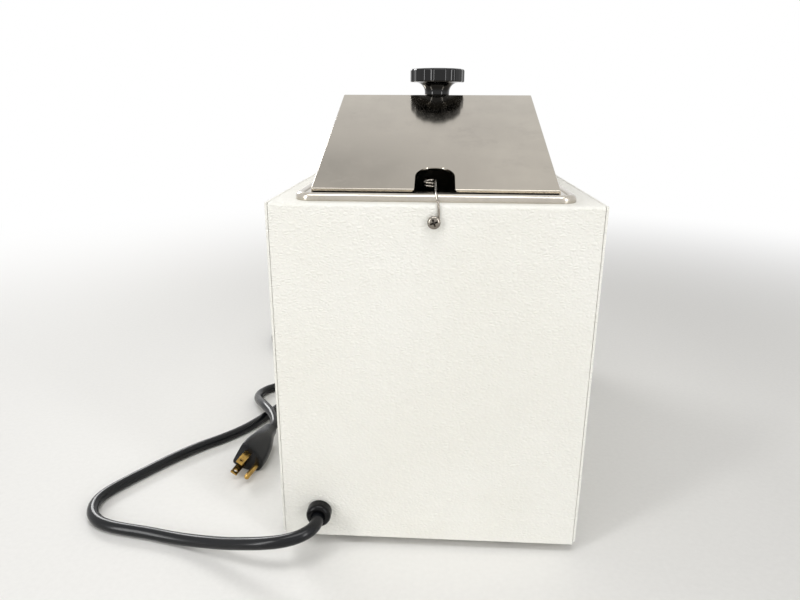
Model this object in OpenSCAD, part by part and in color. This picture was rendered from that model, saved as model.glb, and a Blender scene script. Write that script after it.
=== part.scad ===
// Laboratory water bath: a sheet metal cabinet with a stainless tank, a gabled lift-off lid,
// a spring wire thermometer holder at the back and a mains cord that lies beside it.
// Millimetres. +Z is up, the control panel faces -Y and the cord leaves the back at +Y.
// The origin is on the table, under the middle of the instrument from control knob to cord bushing.

/* [Cabinet] */
// Bare strip of the cabinet's top beside the tank's rim
edge_side = 16.2; // [16:0.1:30]
// Bare strip of the cabinet's top at the ends of the tank's rim
edge_end = 9; // [7:0.5:20]
// Height of the bay under the heat shield, for the controls and the wiring
bay_h = 67.6; // [60:0.1:90]
// Sheet thickness of the wrap that forms the front, top and back
wrap_t = 1.2; // [0.8:0.1:2]
// Outside radius of the folds in the wrap
fold_r = 2.4; // [2.2:0.1:5]
// Thickness of each side panel
side_t = 1.5; // [1:0.1:2]
// Open seam between the wrap and a side panel
seam = 0.4; // [0.2:0.1:1]
// Width of the inward flanges on the side panels and the wrap
flange_w = 12; // [8:0.5:14]
// Sheet thickness of those flanges and of the heat shield
flange_t = 1; // [0.6:0.1:1.5]
// Thickness of the base plate
base_t = 1.2; // [0.8:0.1:2]
// Length of a cooling slot in the base plate
slot_l = 34; // [20:1:50]
// Width of a cooling slot in the base plate
slot_w = 4; // [2:0.5:6]

/* [Feet] */
// Height of the cabinet's lower edge above the table
foot_h = 7; // [5:0.5:14]
// Diameter of a rubber foot
foot_d = 18; // [14:1:26]
// Distance from the heat shield's wall to the middle of a foot
foot_gap = 5; // [4.5:0.5:12]
// Distance from the cabinet's front or back to the middle of a foot
foot_in_y = 34; // [26:1:60]

/* [Tank and rim] */
// Inner width of the tank
tank_w = 152; // [140:1:156]
// Inner length of the tank
tank_l = 340; // [300:1:344]
// Depth from the rim's flat face to the tank's floor
tank_d = 150; // [120:1:155]
// Inner radius of the tank's upright corners
tank_r = 22; // [10:1:30]
// Sheet thickness of the tank
tank_t = 1; // [0.7:0.1:1.5]
// Width of the rim beside the tank
rim_side = 15.8; // [12.8:0.1:18]
// Width of the rim at the two ends of the tank
rim_end = 26; // [20:0.5:28]
// Height of the rim's rolled edge above the cabinet
rim_h = 4.5; // [3.5:0.1:7]
// Height of the rim's flat face above the cabinet
rim_flat_h = 3.5; // [2:0.1:5]
// Width of the rolled edge
bead_w = 6; // [4:0.2:6]
// Outer corner radius of the rim
rim_r = 8; // [7:1:20]

/* [Lid] */
// Gap between the lid's side and the rim's rolled edge
lid_side_gap = 2.8; // [0.3:0.1:4]
// Gap between the lid's rear or front edge and the rim's outer edge
lid_end_gap = 18; // [8:0.5:24]
// Length of the flat strip at the top, which carries the knob
lid_flat = 21; // [20.5:0.5:30]
// Rise of a slope
lid_rise = 60.4; // [30:0.1:80]
// Height of the upright lip under each slope
lid_lip = 3; // [2:0.5:6]
// How far the upright end walls reach below the lips
lid_skirt = 0.8; // [0.5:0.1:3]
// Sheet thickness of the lid
lid_t = 0.8; // [0.6:0.1:1.5]
// Width of the thermometer notch
notch_w = 27.4; // [20:0.2:36]
// Depth of the notch in plan, from the lid's rear edge
notch_l = 31.5; // [26:0.5:45]

/* [Lid knob] */
// Diameter over the fluted rim
knob_d = 48; // [40:1:56]
// Height of the knob
knob_h = 22.8; // [20:0.1:30]
// Height of the rim's lower face above the lid
knob_under = 10.8; // [10:0.1:14]
// Diameter of the neck
knob_neck_d = 22; // [16:0.5:23]
// Number of flutes in the rim
knob_flutes = 8; // [6:1:12]
// Radius of the cutter that makes one flute
flute_r = 9; // [6:0.5:14]
// Depth of one flute
flute_depth = 1.1; // [0.5:0.1:2]
// Diameter of the screw that holds the knob
knob_screw_d = 4.8; // [4:0.1:6]
// How far that screw goes into the knob
knob_screw_in = 12; // [8:1:16]

/* [Thermometer holder] */
// Diameter of the spring wire
wire_d = 1.5; // [1:0.1:2]
// Inner diameter of the loops that hold the thermometer
loop_d = 6.9; // [6.5:0.1:9]
// Rise of the wire in one loop
loop_pitch = 2.1; // [1.7:0.1:3]
// Height of the holder's screw below the top of the cabinet
clip_drop = 11; // [10:0.5:20]
// Distance of the loops from the back face
loop_in = 47; // [44:0.5:50]
// Sideways distance of the loops from the middle
loop_off = 3.5; // [0:0.5:5]

/* [Shelf] */
// Height of the shelf over the tank's floor
shelf_h = 13; // [8:1:30]
// Thickness of the shelf
shelf_t = 1; // [0.8:0.1:2]
// Gap between the shelf and each tank wall
shelf_gap = 3; // [1:0.5:6]
// Diameter of a hole in the shelf
shelf_hole_d = 8; // [5:0.5:12]
// Distance between neighbouring holes
shelf_pitch = 26; // [20:1:40]

/* [Heating] */
// Distance from the tank's side wall to the flat heating element
heater_in_side = 23; // [22:1:46]
// Distance from the tank's end wall to the flat heating element
heater_in_end = 30; // [22:1:90]
// Thickness of the flat heating element
heater_t = 4; // [2:0.5:6]
// Thickness of the plate that presses it to the tank
press_t = 1.5; // [1:0.1:2.5]
// Diameter of the studs on the tank's underside
stud_d = 4; // [3:0.5:5]
// How far the studs reach below the pressing plate
stud_out = 5.5; // [4.5:0.5:8]
// Thickness of the insulation under the tank
slab_t = 19; // [12:1:24]
// Gap between the insulation beside the tank and the cabinet's flanges
pad_gap = 1.7; // [0.5:0.1:6]
// Gap between the insulation at the tank's ends and the cabinet's flanges
pad_end_gap = 5.5; // [4:0.5:12]
// Diameter of the thermostat's bulb
bulb_d = 6.4; // [5:0.1:8]
// Length of the thermostat's bulb
bulb_l = 90; // [50:1:120]
// Height of the bulb above the tank's floor
bulb_up = 14; // [10:1:30]

/* [Controls] */
// Distance from the cabinet's side to the control plate
plate_edge = 20; // [16:1:34]
// Height of the control plate
plate_h = 62; // [52:1:66]
// Thickness of the control plate
plate_t = 1; // [0.5:0.1:2]
// Height of the controls above the cabinet's lower edge
panel_up = 43; // [39:1:47]
// Distance from the control plate's edge to the middle of the thermostat
thermo_in = 42; // [30:1:48]
// Sideways place of the pilot lamp
lamp_x = 10; // [0:1:16]
// Distance from the control plate's edge to the middle of the power switch
switch_in = 34; // [22:1:40]
// How far the thermostat knob stands out of the front face
dial_out = 25; // [22:0.5:32]
// Diameter of the thermostat knob's skirt
dial_d = 46; // [38:1:50]
// Diameter of the thermostat knob's grip
grip_d = 34; // [26:1:36]
// Diameter of the thermostat's shaft
shaft_d = 6; // [5:0.1:6.4]
// Radial running clearance around a shaft or pin
run_clear = 0.05; // [0.02:0.01:0.09]
// Tilt of the rocker to each side
rocker_tilt = 11; // [8:0.5:12]
// Diameter of the pilot lamp's bezel
lamp_d = 13; // [11:0.5:16]

/* [Mains cord] */
// Diameter of the cord
cord_d = 9; // [7:0.1:10]
// Diameter of the strain relief bushing's head
gland_d = 18; // [16:0.5:22]
// How far the bushing's head stands out of the back face
gland_out = 9; // [6:0.5:12]
// How far the bushing reaches behind the back panel
gland_in = 14; // [8:0.5:20]
// Sideways place of the cord bushing
gland_x = 80; // [60:1:84]
// Height of the cord bushing above the table
gland_z = 28; // [22:1:40]
// Width of the plug across its blades
plug_w = 26; // [24:0.5:30]
// Length of the plug's thick part
plug_l = 26; // [20:1:34]
// Length of the plug's tapered tail
tail_l = 26; // [20:1:34]

/* [Hidden] */

// Overlap that a cutter needs to run past a face
cut = 1;
// Gap that keeps two neighbours of one body apart
near = 0.3;
// Fineness of round features
round_fn = 48;

rim_w = tank_w + 2 * rim_side;
rim_l = tank_l + 2 * rim_end;
case_w = rim_w + 2 * edge_side;
case_l = rim_l + 2 * edge_end;
case_h = wrap_t + base_t + bay_h + flange_t + slab_t + stud_out + press_t + heater_t + tank_t + tank_d
    - rim_flat_h;
total_l = case_l + dial_out + gland_out;
front_y = -total_l / 2 + dial_out;
back_y = front_y + case_l;
mid_y = (front_y + back_y) / 2;
top_z = foot_h + case_h;
wrap_w = case_w - 2 * (side_t + seam);
base_z = foot_h + wrap_t + base_t;
side_in_x = case_w / 2 - side_t;
flange_x = side_in_x - flange_w;
base_screw_y = case_l / 2 - 95;
slot_y = tank_l / 2 - 80;

flat_z = top_z + rim_flat_h;
floor_z = flat_z - tank_d;
under_z = floor_z - tank_t;
tank_out_w = tank_w + 2 * tank_t;
tank_out_l = tank_l + 2 * tank_t;
hole_gap = 1;

heater_z = under_z - heater_t;
press_z = heater_z - press_t;
stud_z = press_z - stud_out;
shield_z = stud_z - slab_t;
heater_w = tank_w - 2 * heater_in_side;
heater_l = tank_l - 2 * heater_in_end;
shield_foot = 6.2;
shield_w = 2 * (flange_x - near - shield_foot);
shield_l = tank_out_l + 2;
duct_y = mid_y - shield_l / 2 - 10;
foot_x = shield_w / 2 - flange_t - foot_gap;
stud_x = heater_w / 2 + 7;
stud_y = heater_l / 2 - 20;
press_w = 2 * stud_x + 12;
nut_t = 3.2;
pad_top_z = top_z - wrap_t - 3;
pad_side_l = tank_l - 20;
pad_end_w = tank_w - 4;
bulb_x = tank_out_w / 2 + bulb_d / 2;
bulb_z = floor_z + bulb_up;
bulb_y = duct_y + 92;
limit_x = 40;
limit_z = floor_z + 30;

lid_w = rim_w - 2 * bead_w - 2 * lid_side_gap;
lid_l = rim_l - 2 * lid_end_gap;
lid_run = (lid_l - lid_flat) / 2;
lip_z = flat_z + lid_skirt;
ridge_z = lip_z + lid_lip + lid_rise;
lid_slope = atan(lid_rise / lid_run);
lid_back_y = mid_y + lid_l / 2;

plate_w = case_w - 2 * plate_edge;
panel_z = foot_h + panel_up;
thermo_x = thermo_in - plate_w / 2;
switch_x = plate_w / 2 - switch_in;
plate_y = front_y - plate_t;
inner_front_y = front_y + wrap_t;
inner_back_y = back_y - wrap_t;
thermo_hole_d = 10;
thermo_w = 36;
thermo_h = 30;
thermo_back_y = inner_front_y + 38;
collar_d = 9.6;
nut_flat = 13;
nut_y = plate_y - 2.5;
collar_out = 3.5;
shaft_in = 13.5;
dial_crown = 5;
dial_back_y = plate_y - 0.8;
dial_front_y = front_y - dial_out;
recess_y = plate_y - collar_out - 0.6;
switch_hole_w = 21.6;
switch_hole_h = 31.6;
bezel_t = 2;
bezel_y = plate_y - bezel_t;
pivot_y = bezel_y + 6;
lamp_hole_d = 10;
spade_y = inner_front_y + 30;
screw_r = 2;
term_x = shield_w / 2 - flange_t - 35;
wire_x = shield_w / 2 - flange_t - 15;
term_y = inner_back_y - 78;
term_z = base_z + 6;
term_l = 18;

clip_z = top_z - clip_drop;
loop_y = back_y - loop_in;
bead_crest_y = mid_y + rim_l / 2 - bead_w / 2;
bead_crest_z = top_z + rim_h;
loop_r = (loop_d + wire_d) / 2;
loop_top_z = bead_crest_z + 5.2;
loop_turns = 2.25;

function unit(v) = v / norm(v);
function tangent(p, i) = unit(p[min(i + 1, len(p) - 1)] - p[max(i - 1, 0)]);
function carry(u, t) = unit(u - (u * t) * t);
function ring_ups(p, u, i = 0, acc = []) =
    i == len(p) ? acc : let (v = carry(u, tangent(p, i))) ring_ups(p, v, i + 1, concat(acc, [v]));
function ring_point(c, t, u, r, a) = c + r * (cos(a) * u + sin(a) * cross(t, u));

// Solid tube of round section along a list of points
module tube(path, r, sides = 8, up = [0, 0, 1]) {
    n = len(path);
    ups = ring_ups(path, up);
    points = [for (i = [0 : n - 1], k = [0 : sides - 1])
        ring_point(path[i], tangent(path, i), ups[i], r, k * 360 / sides)];
    walls = [for (i = [0 : n - 2], k = [0 : sides - 1])
        let (m = (k + 1) % sides)
        [i * sides + k, (i + 1) * sides + k, (i + 1) * sides + m, i * sides + m]];
    first = [for (k = [0 : sides - 1]) k];
    last = [for (k = [sides - 1 : -1 : 0]) (n - 1) * sides + k];
    polyhedron(points, concat(walls, [first, last]), convexity = 10);
}

// Rectangle with round corners, made of true circles
module round_rect(w, l, r) {
    square([w - 2 * r, l], center = true);
    square([w, l - 2 * r], center = true);
    for (sx = [-1, 1], sy = [-1, 1])
        translate([sx * (w / 2 - r), sy * (l / 2 - r)]) circle(r, $fn = round_fn);
}

// Closed rail of one profile around a round-cornered rectangle; the profile's x = 0 is the outer edge
module rail(w, l, r) {
    for (s = [0, 180]) rotate(s) {
        translate([w / 2, l / 2 - r, 0]) rotate([90, 0, 0])
            linear_extrude(l - 2 * r) mirror([1, 0]) children();
        translate([w / 2 - r, -l / 2, 0]) rotate([90, 0, -90])
            linear_extrude(w - 2 * r) mirror([1, 0]) children();
        for (c = [[1, 1, 0], [-1, 1, 90]])
            translate([c[0] * (w / 2 - r), c[1] * (l / 2 - r), 0]) rotate(c[2])
                rotate_extrude(angle = 90, $fn = 2 * round_fn) translate([r, 0]) mirror([1, 0]) children();
    }
}

// Cylinder along -Y that starts at the plane y and is l long
module rod_front(x, y, z, r, l, fn = round_fn) {
    translate([x, y, z]) rotate([90, 0, 0]) cylinder(h = l, r = r, $fn = fn);
}

// Cylinder along +Y that starts at the plane y and is l long
module rod_back(x, y, z, r, l, fn = round_fn) {
    translate([x, y, z]) rotate([-90, 0, 0]) cylinder(h = l, r = r, $fn = fn);
}

// Upward box between two corners
module block(a, b) {
    translate(a) cube(b - a);
}

// Pan head screw along +Z whose head sits under the plane z = 0
module pan_screw(r, head_r, head_t, l) {
    cylinder(h = l, r = r, $fn = 32);
    difference() {
        translate([0, 0, -head_t]) cylinder(h = head_t, r = head_r, $fn = 32);
        for (a = [0, 90]) rotate(a)
            translate([-head_r * 0.55, -0.5, -head_t - cut]) cube([head_r * 1.1, 1, cut + head_t / 2]);
    }
}

// Hexagon nut over the plane z = 0
module hex_nut(flat, t, bore_r) {
    difference() {
        cylinder(h = t, r = flat / 2 / cos(30), $fn = 6);
        translate([0, 0, -cut]) cylinder(h = t + 2 * cut, r = bore_r, $fn = 32);
    }
}

module at_feet() {
    for (sx = [-1, 1], y = [front_y + foot_in_y, back_y - foot_in_y])
        translate([sx * foot_x, y, 0]) children();
}

// Places of the screws that join the base plate to the flanges above and below it
function base_screw_places() = concat(
    [for (sx = [-1, 1], y = [inner_front_y + flange_w / 2, inner_back_y - flange_w / 2]) [sx * 60, y, 0]],
    [for (sx = [-1, 1], sy = [-1, 1]) [sx * (side_in_x - flange_w / 2), mid_y + sy * base_screw_y, 1]]);

module at_plate_corners() {
    for (sx = [-1, 1], sz = [-1, 1])
        translate([sx * (plate_w / 2 - 6), plate_y, panel_z + sz * (plate_h / 2 - 6)]) children();
}

// Front, top and back as one folded sheet with a flange under the front and the back
module cabinet_wrap() color([0.93, 0.92, 0.88]) {
    r_in = fold_r - wrap_t;
    difference() {
        translate([-wrap_w / 2, 0, 0]) rotate([90, 0, 90]) linear_extrude(wrap_w) union() {
            for (y = [front_y, back_y - wrap_t])
                translate([y, foot_h]) square([wrap_t, case_h - fold_r]);
            translate([front_y + fold_r, top_z - wrap_t]) square([case_l - 2 * fold_r, wrap_t]);
            for (y = [front_y, back_y - flange_w - wrap_t])
                translate([y, foot_h]) square([flange_w + wrap_t, wrap_t]);
            for (s = [-1, 1]) translate([mid_y + s * (case_l / 2 - fold_r), top_z - fold_r])
                intersection() {
                    difference() {
                        circle(fold_r, $fn = round_fn);
                        circle(r_in, $fn = round_fn);
                    }
                    translate([s > 0 ? 0 : -fold_r, 0]) square(fold_r);
                }
        }
        translate([0, mid_y, top_z - 2 * wrap_t]) linear_extrude(3 * wrap_t)
            round_rect(tank_out_w + 2 * hole_gap, tank_out_l + 2 * hole_gap, tank_r + tank_t + hole_gap);
        rod_front(thermo_x, inner_front_y + cut, panel_z, thermo_hole_d / 2, wrap_t + 2 * cut);
        rod_front(lamp_x, inner_front_y + cut, panel_z, lamp_hole_d / 2, wrap_t + 2 * cut);
        block([switch_x - switch_hole_w / 2, front_y - cut, panel_z - switch_hole_h / 2],
              [switch_x + switch_hole_w / 2, inner_front_y + cut, panel_z + switch_hole_h / 2]);
        at_plate_corners() rod_front(0, 2 * plate_t + wrap_t + cut, 0, 1.3, wrap_t + 2 * cut + plate_t, 24);
        rod_back(gland_x, inner_back_y - cut, gland_z, gland_d * 0.36, wrap_t + 2 * cut);
        rod_back(0, inner_back_y - cut, clip_z, screw_r + 0.15, wrap_t + 2 * cut);
        for (p = base_screw_places()) if (p[2] == 0)
            translate([p[0], p[1], foot_h - cut]) cylinder(h = wrap_t + 2 * cut, r = 1.8, $fn = 24);
    }
}

// One side panel: a plate with flanges that tuck inside the wrap and lie on the base plate
module side_panel(s) color([0.92, 0.91, 0.87]) {
    corner = 3;
    under = top_z - wrap_t;
    difference() {
        mirror([s > 0 ? 0 : 1, 0, 0]) {
            translate([side_in_x, 0, 0]) rotate([90, 0, 90]) linear_extrude(side_t) polygon([
                [front_y, foot_h + corner], [front_y + corner, foot_h], [back_y - corner, foot_h],
                [back_y, foot_h + corner], [back_y, top_z], [front_y, top_z]]);
            block([flange_x, inner_front_y + fold_r, under - flange_t],
                  [side_in_x, inner_back_y - fold_r, under]);
            block([flange_x, inner_front_y, base_z + 2 * corner],
                  [side_in_x, inner_front_y + flange_t, under - fold_r - flange_t]);
            block([flange_x, inner_back_y - flange_t, base_z + 2 * corner],
                  [side_in_x, inner_back_y, under - fold_r - flange_t]);
            block([flange_x, inner_front_y + fold_r, base_z],
                  [side_in_x, inner_back_y - fold_r, base_z + flange_t]);
        }
        for (p = base_screw_places()) if (p[2] == 1)
            translate([p[0], p[1], base_z - cut]) cylinder(h = flange_t + 2 * cut, r = 1.6, $fn = 24);
    }
}

module side_panel_right() side_panel(1);
module side_panel_left() side_panel(-1);

module base_plate() color([0.72, 0.73, 0.74]) difference() {
    block([-wrap_w / 2, inner_front_y, base_z - base_t], [wrap_w / 2, inner_back_y, base_z]);
    for (i = [-3 : 3], sy = [-1, 1])
        translate([i * 3 * slot_w, mid_y + sy * slot_y, base_z - base_t - cut])
            linear_extrude(base_t + 2 * cut) {
                square([slot_w, slot_l - slot_w], center = true);
                for (e = [-1, 1]) translate([0, e * (slot_l - slot_w) / 2]) circle(slot_w / 2, $fn = 24);
            }
    at_feet() translate([0, 0, base_z - base_t - cut])
        cylinder(h = base_t + 2 * cut, r = screw_r + 0.15, $fn = 32);
    for (p = base_screw_places())
        translate([p[0], p[1], base_z - base_t - cut]) cylinder(h = base_t + 2 * cut, r = 1.6, $fn = 24);
}

// Sheet metal screws from below that hold the wrap and the side panels to the base plate
module base_screws() color([0.75, 0.75, 0.76]) for (p = base_screw_places())
    translate([p[0], p[1], p[2] == 0 ? foot_h : base_z - base_t])
        pan_screw(1.5, 2.9, p[2] == 0 ? 1.9 : 2.1, p[2] == 0 ? wrap_t + base_t + 3 : base_t + flange_t + 3);

module feet() color([0.09, 0.09, 0.09]) at_feet() difference() {
    union() {
        cylinder(h = 2, r1 = foot_d / 2 - 1.2, r2 = foot_d / 2 - 0.4, $fn = round_fn);
        translate([0, 0, 2]) cylinder(h = base_z - base_t - 2, r = foot_d / 2 - 0.4, $fn = round_fn);
    }
    translate([0, 0, -cut]) cylinder(h = foot_h + 3 * cut, r = screw_r + 0.15, $fn = 32);
    translate([0, 0, -cut]) cylinder(h = foot_h / 2 + cut, r = 4.4, $fn = 32);
}

module foot_screws() color([0.75, 0.75, 0.76]) at_feet()
    translate([0, 0, foot_h / 2]) pan_screw(screw_r, 3.9, 2.2, base_z + nut_t + 1.4 - foot_h / 2);

module foot_nuts() color([0.78, 0.78, 0.8]) at_feet()
    translate([0, 0, base_z]) hex_nut(7, nut_t, screw_r + 0.05);

// Deep tank whose rim lies on the cabinet, with a rolled outer edge
module tank() color([0.78, 0.78, 0.77]) {
    translate([0, mid_y, under_z]) {
        linear_extrude(flat_z - under_z) difference() {
            round_rect(tank_out_w, tank_out_l, tank_r + tank_t);
            round_rect(tank_w, tank_l, tank_r);
        }
        linear_extrude(tank_t) round_rect(tank_out_w, tank_out_l, tank_r + tank_t);
    }
    translate([0, mid_y, flat_z - tank_t]) linear_extrude(tank_t) difference() {
        round_rect(rim_w - bead_w, rim_l - bead_w, rim_r - bead_w / 2);
        round_rect(tank_w, tank_l, tank_r);
    }
    translate([0, mid_y, top_z]) rail(rim_w, rim_l, rim_r) {
        square([bead_w, rim_h - bead_w / 2]);
        intersection() {
            translate([bead_w / 2, rim_h - bead_w / 2]) circle(bead_w / 2, $fn = round_fn);
            square([bead_w, rim_h]);
        }
    }
}

module heating_element() color([0.55, 0.2, 0.12])
    translate([0, mid_y, heater_z]) linear_extrude(heater_t) round_rect(heater_w, heater_l, 6);

module at_studs() {
    for (sx = [-1, 1], sy = [-1, 0, 1]) translate([sx * stud_x, mid_y + sy * stud_y, 0]) children();
}

module pressing_plate() color([0.72, 0.73, 0.74]) difference() {
    translate([0, mid_y, press_z]) linear_extrude(press_t) round_rect(press_w, heater_l, 6);
    at_studs() translate([0, 0, press_z - cut])
        cylinder(h = press_t + 2 * cut, r = stud_d / 2 + 0.2, $fn = 32);
}

module tank_studs() color([0.78, 0.78, 0.8]) at_studs()
    translate([0, 0, stud_z]) cylinder(h = under_z - stud_z, r = stud_d / 2, $fn = 32);

module stud_nuts() color([0.78, 0.78, 0.8]) at_studs()
    translate([0, 0, press_z - nut_t]) hex_nut(7, nut_t, stud_d / 2 + 0.05);

module insulation_bottom() color([0.86, 0.8, 0.55])
    block([-shield_w / 2, mid_y - shield_l / 2, shield_z], [shield_w / 2, mid_y + shield_l / 2, stud_z]);

// Long pads beside the tank; the left one leaves room for the thermostat's bulb and its clip
module insulation_sides() color([0.86, 0.8, 0.55]) {
    pad_x = tank_out_w / 2 + near;
    pad_t = flange_x - pad_gap - pad_x;
    difference() {
        for (s = [-1, 1]) mirror([s > 0 ? 0 : 1, 0, 0])
            block([pad_x, mid_y - pad_side_l / 2, stud_z],
                  [pad_x + pad_t, mid_y + pad_side_l / 2, pad_top_z]);
        block([-tank_out_w / 2 - bulb_d - 4, mid_y - pad_side_l / 2 - cut, bulb_z - bulb_d - 1],
              [-tank_out_w / 2, bulb_y + bulb_l / 2 + 4, bulb_z + bulb_d + 1]);
    }
}

// Pads at the two ends; the front one leaves room for the limit thermostat
module insulation_ends() color([0.86, 0.8, 0.55]) difference() {
    for (s = [-1, 1]) translate([0, mid_y, 0]) mirror([0, s > 0 ? 0 : 1, 0])
        block([-pad_end_w / 2, tank_out_l / 2 + near, stud_z],
              [pad_end_w / 2, case_l / 2 - wrap_t - flange_t - pad_end_gap, pad_top_z]);
    block([limit_x - 22, mid_y - tank_out_l / 2 - 18, stud_z - cut],
          [limit_x + 22, mid_y - tank_out_l / 2, limit_z + 11]);
}

// Inverted trough that carries the insulation and keeps heat from the wiring
module heat_shield() color([0.74, 0.75, 0.76]) translate([0, mid_y, 0]) {
    block([-shield_w / 2, -shield_l / 2, shield_z - flange_t], [shield_w / 2, shield_l / 2, shield_z]);
    for (s = [0, 1]) mirror([s, 0, 0]) {
        block([shield_w / 2 - flange_t, -shield_l / 2, base_z],
              [shield_w / 2, shield_l / 2, shield_z - flange_t]);
        block([shield_w / 2, -shield_l / 2, base_z],
              [shield_w / 2 + shield_foot, shield_l / 2, base_z + flange_t]);
    }
}

module thermostat_bulb() color([0.72, 0.45, 0.28])
    rod_front(-bulb_x, bulb_y + bulb_l / 2, bulb_z, bulb_d / 2, bulb_l);

// Saddle that holds the bulb to the tank's wall
module bulb_clip() color([0.75, 0.75, 0.76]) {
    saddle_r = bulb_d / 2 + 0.05;
    saddle_t = 0.8;
    for (y = [bulb_y - bulb_l / 4, bulb_y + bulb_l / 4]) translate([-tank_out_w / 2, y, bulb_z]) {
        difference() {
            union() {
                translate([-bulb_d / 2, 5, 0]) rotate([90, 0, 0])
                    cylinder(h = 10, r = saddle_r + saddle_t, $fn = round_fn);
                for (s = [0, 1]) mirror([0, 0, s])
                    translate([-saddle_t, -5, saddle_r]) cube([saddle_t, 10, 3.2]);
            }
            translate([-bulb_d / 2, 5 + cut, 0]) rotate([90, 0, 0])
                cylinder(h = 10 + 2 * cut, r = saddle_r, $fn = round_fn);
            translate([0, -5 - cut, -2 * bulb_d]) cube([2 * bulb_d, 10 + 2 * cut, 4 * bulb_d]);
            translate([-bulb_d / 2, -5 - cut, -saddle_r]) cube([bulb_d, 10 + 2 * cut, 2 * saddle_r]);
        }
    }
}

module capillary() color([0.72, 0.45, 0.28]) tube([
    [-bulb_x, bulb_y - bulb_l / 2, bulb_z], [-bulb_x, duct_y + 27, bulb_z],
    [-bulb_x, duct_y + 10, bulb_z - 3], [-bulb_x + 1, duct_y + 1, bulb_z - 12],
    [-bulb_x + 5, duct_y - 2, bulb_z - 30], [thermo_x - 16, duct_y - 2, panel_z + thermo_h / 2 + 23],
    [thermo_x - 4, duct_y - 2, panel_z + thermo_h / 2 + 14],
    [thermo_x, duct_y - 2, panel_z + thermo_h / 2 + 7], [thermo_x, duct_y - 2, panel_z + thermo_h / 2]],
    1, 8, [1, 0, 0]);

// Bimetal limit thermostat on the tank's front wall
module limit_thermostat() color([0.12, 0.12, 0.13]) {
    wall_y = mid_y - tank_out_l / 2;
    rod_front(limit_x, wall_y, limit_z, 8, 5);
    rod_front(limit_x, wall_y - 5, limit_z, 6.5, 6);
    for (s = [-1, 1]) block([limit_x + s * 4 - 3, wall_y - 14, limit_z - 0.4],
                            [limit_x + s * 4 + 3, wall_y - 11, limit_z + 0.4]);
    difference() {
        block([limit_x - 18, wall_y - 0.8, limit_z - 5], [limit_x + 18, wall_y, limit_z + 5]);
        for (s = [-1, 1]) rod_front(limit_x + s * 14, wall_y + cut, limit_z, 1.6, 2 + cut, 24);
    }
}

// Hydraulic thermostat behind the front, with a collar through the wrap and the control plate
module thermostat_body() color([0.16, 0.16, 0.17]) {
    difference() {
        union() {
            block([thermo_x - thermo_w / 2, inner_front_y, panel_z - thermo_h / 2],
                  [thermo_x + thermo_w / 2, thermo_back_y, panel_z + thermo_h / 2]);
            rod_front(thermo_x, inner_front_y, panel_z, collar_d / 2, inner_front_y - plate_y + collar_out);
        }
        rod_front(thermo_x, inner_front_y + shaft_in + 0.5, panel_z, shaft_d / 2 + run_clear,
                  shaft_in + 0.5 + inner_front_y - plate_y + collar_out + cut);
    }
}

module thermostat_nut() color([0.78, 0.78, 0.8])
    translate([thermo_x, plate_y, panel_z]) rotate([90, 0, 0])
        hex_nut(nut_flat, plate_y - nut_y, collar_d / 2 + 0.05);

module thermostat_shaft() color([0.78, 0.78, 0.8])
    rod_front(thermo_x, inner_front_y + shaft_in, panel_z, shaft_d / 2,
              inner_front_y + shaft_in - dial_front_y - dial_crown);

// Round grip on a skirt, with a recess over the nut and grip flutes around it
module thermostat_knob() color([0.08, 0.08, 0.09]) {
    depth = dial_back_y - dial_front_y;
    skirt_t = 3;
    ledge = 0.5;
    difference() {
        union() {
            rod_front(thermo_x, dial_back_y, panel_z, dial_d / 2, skirt_t);
            rod_front(thermo_x, dial_back_y - skirt_t, panel_z, grip_d / 2, depth - skirt_t);
        }
        for (i = [0 : 17]) translate([thermo_x, 0, panel_z]) rotate([0, i * 20 + 10, 0])
            rod_front(grip_d / 2 + 1.2, dial_back_y - skirt_t - ledge, 0, 2, depth, 24);
        rod_front(thermo_x, dial_back_y + cut, panel_z, nut_flat / 2 / cos(30) + 1.2,
                  dial_back_y + cut - recess_y);
        rod_front(thermo_x, dial_back_y + cut, panel_z, shaft_d / 2 + run_clear,
                  depth - dial_crown + cut + run_clear);
    }
}

// Snap-in switch housing with an open front that holds the rocker between two cheeks
module switch_housing() color([0.07, 0.07, 0.08]) {
    wide = switch_hole_w - 0.6;
    tall = switch_hole_h - 0.6;
    difference() {
        union() {
            block([switch_x - wide / 2 - 1.5, bezel_y, panel_z - tall / 2 - 1.5],
                  [switch_x + wide / 2 + 1.5, plate_y, panel_z + tall / 2 + 1.5]);
            block([switch_x - wide / 2, plate_y, panel_z - tall / 2],
                  [switch_x + wide / 2, spade_y - 8, panel_z + tall / 2]);
            for (z = [-8, 0, 8]) block([switch_x - 3.1, spade_y - 8, panel_z + z - 0.4],
                                       [switch_x + 3.1, spade_y, panel_z + z + 0.4]);
        }
        block([switch_x - 8.8, bezel_y - cut, panel_z - 14.3],
              [switch_x + 8.8, bezel_y + 12, panel_z + 14.3]);
        translate([switch_x - 10.1, pivot_y, panel_z]) rotate([0, 90, 0])
            cylinder(h = 20.2, r = 1.2 + run_clear, $fn = round_fn);
    }
}

// Rocker with two shallow pressing faces, drawn in its off position
module power_rocker() color([0.05, 0.05, 0.055])
    translate([switch_x, pivot_y, panel_z]) rotate([rocker_tilt, 0, 0]) {
        translate([-8.5, 0, 0]) rotate([90, 0, 90]) linear_extrude(17)
            polygon([[-8.5, -12.3], [-6, 0], [-8.5, 12.3], [-2.5, 12.3], [3, 5], [3, -5], [-2.5, -12.3]]);
        translate([-10, 0, 0]) rotate([0, 90, 0]) cylinder(h = 20, r = 1.2, $fn = round_fn);
    }

module lamp_body() color([0.7, 0.7, 0.72]) difference() {
    union() {
        rod_front(lamp_x, plate_y, panel_z, lamp_d / 2, 2);
        rod_front(lamp_x, inner_front_y + 24, panel_z, lamp_hole_d / 2 - 0.2, 24 + wrap_t + plate_t);
    }
    rod_front(lamp_x, plate_y + 6, panel_z, lamp_hole_d / 2 - 1, 9);
}

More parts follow.
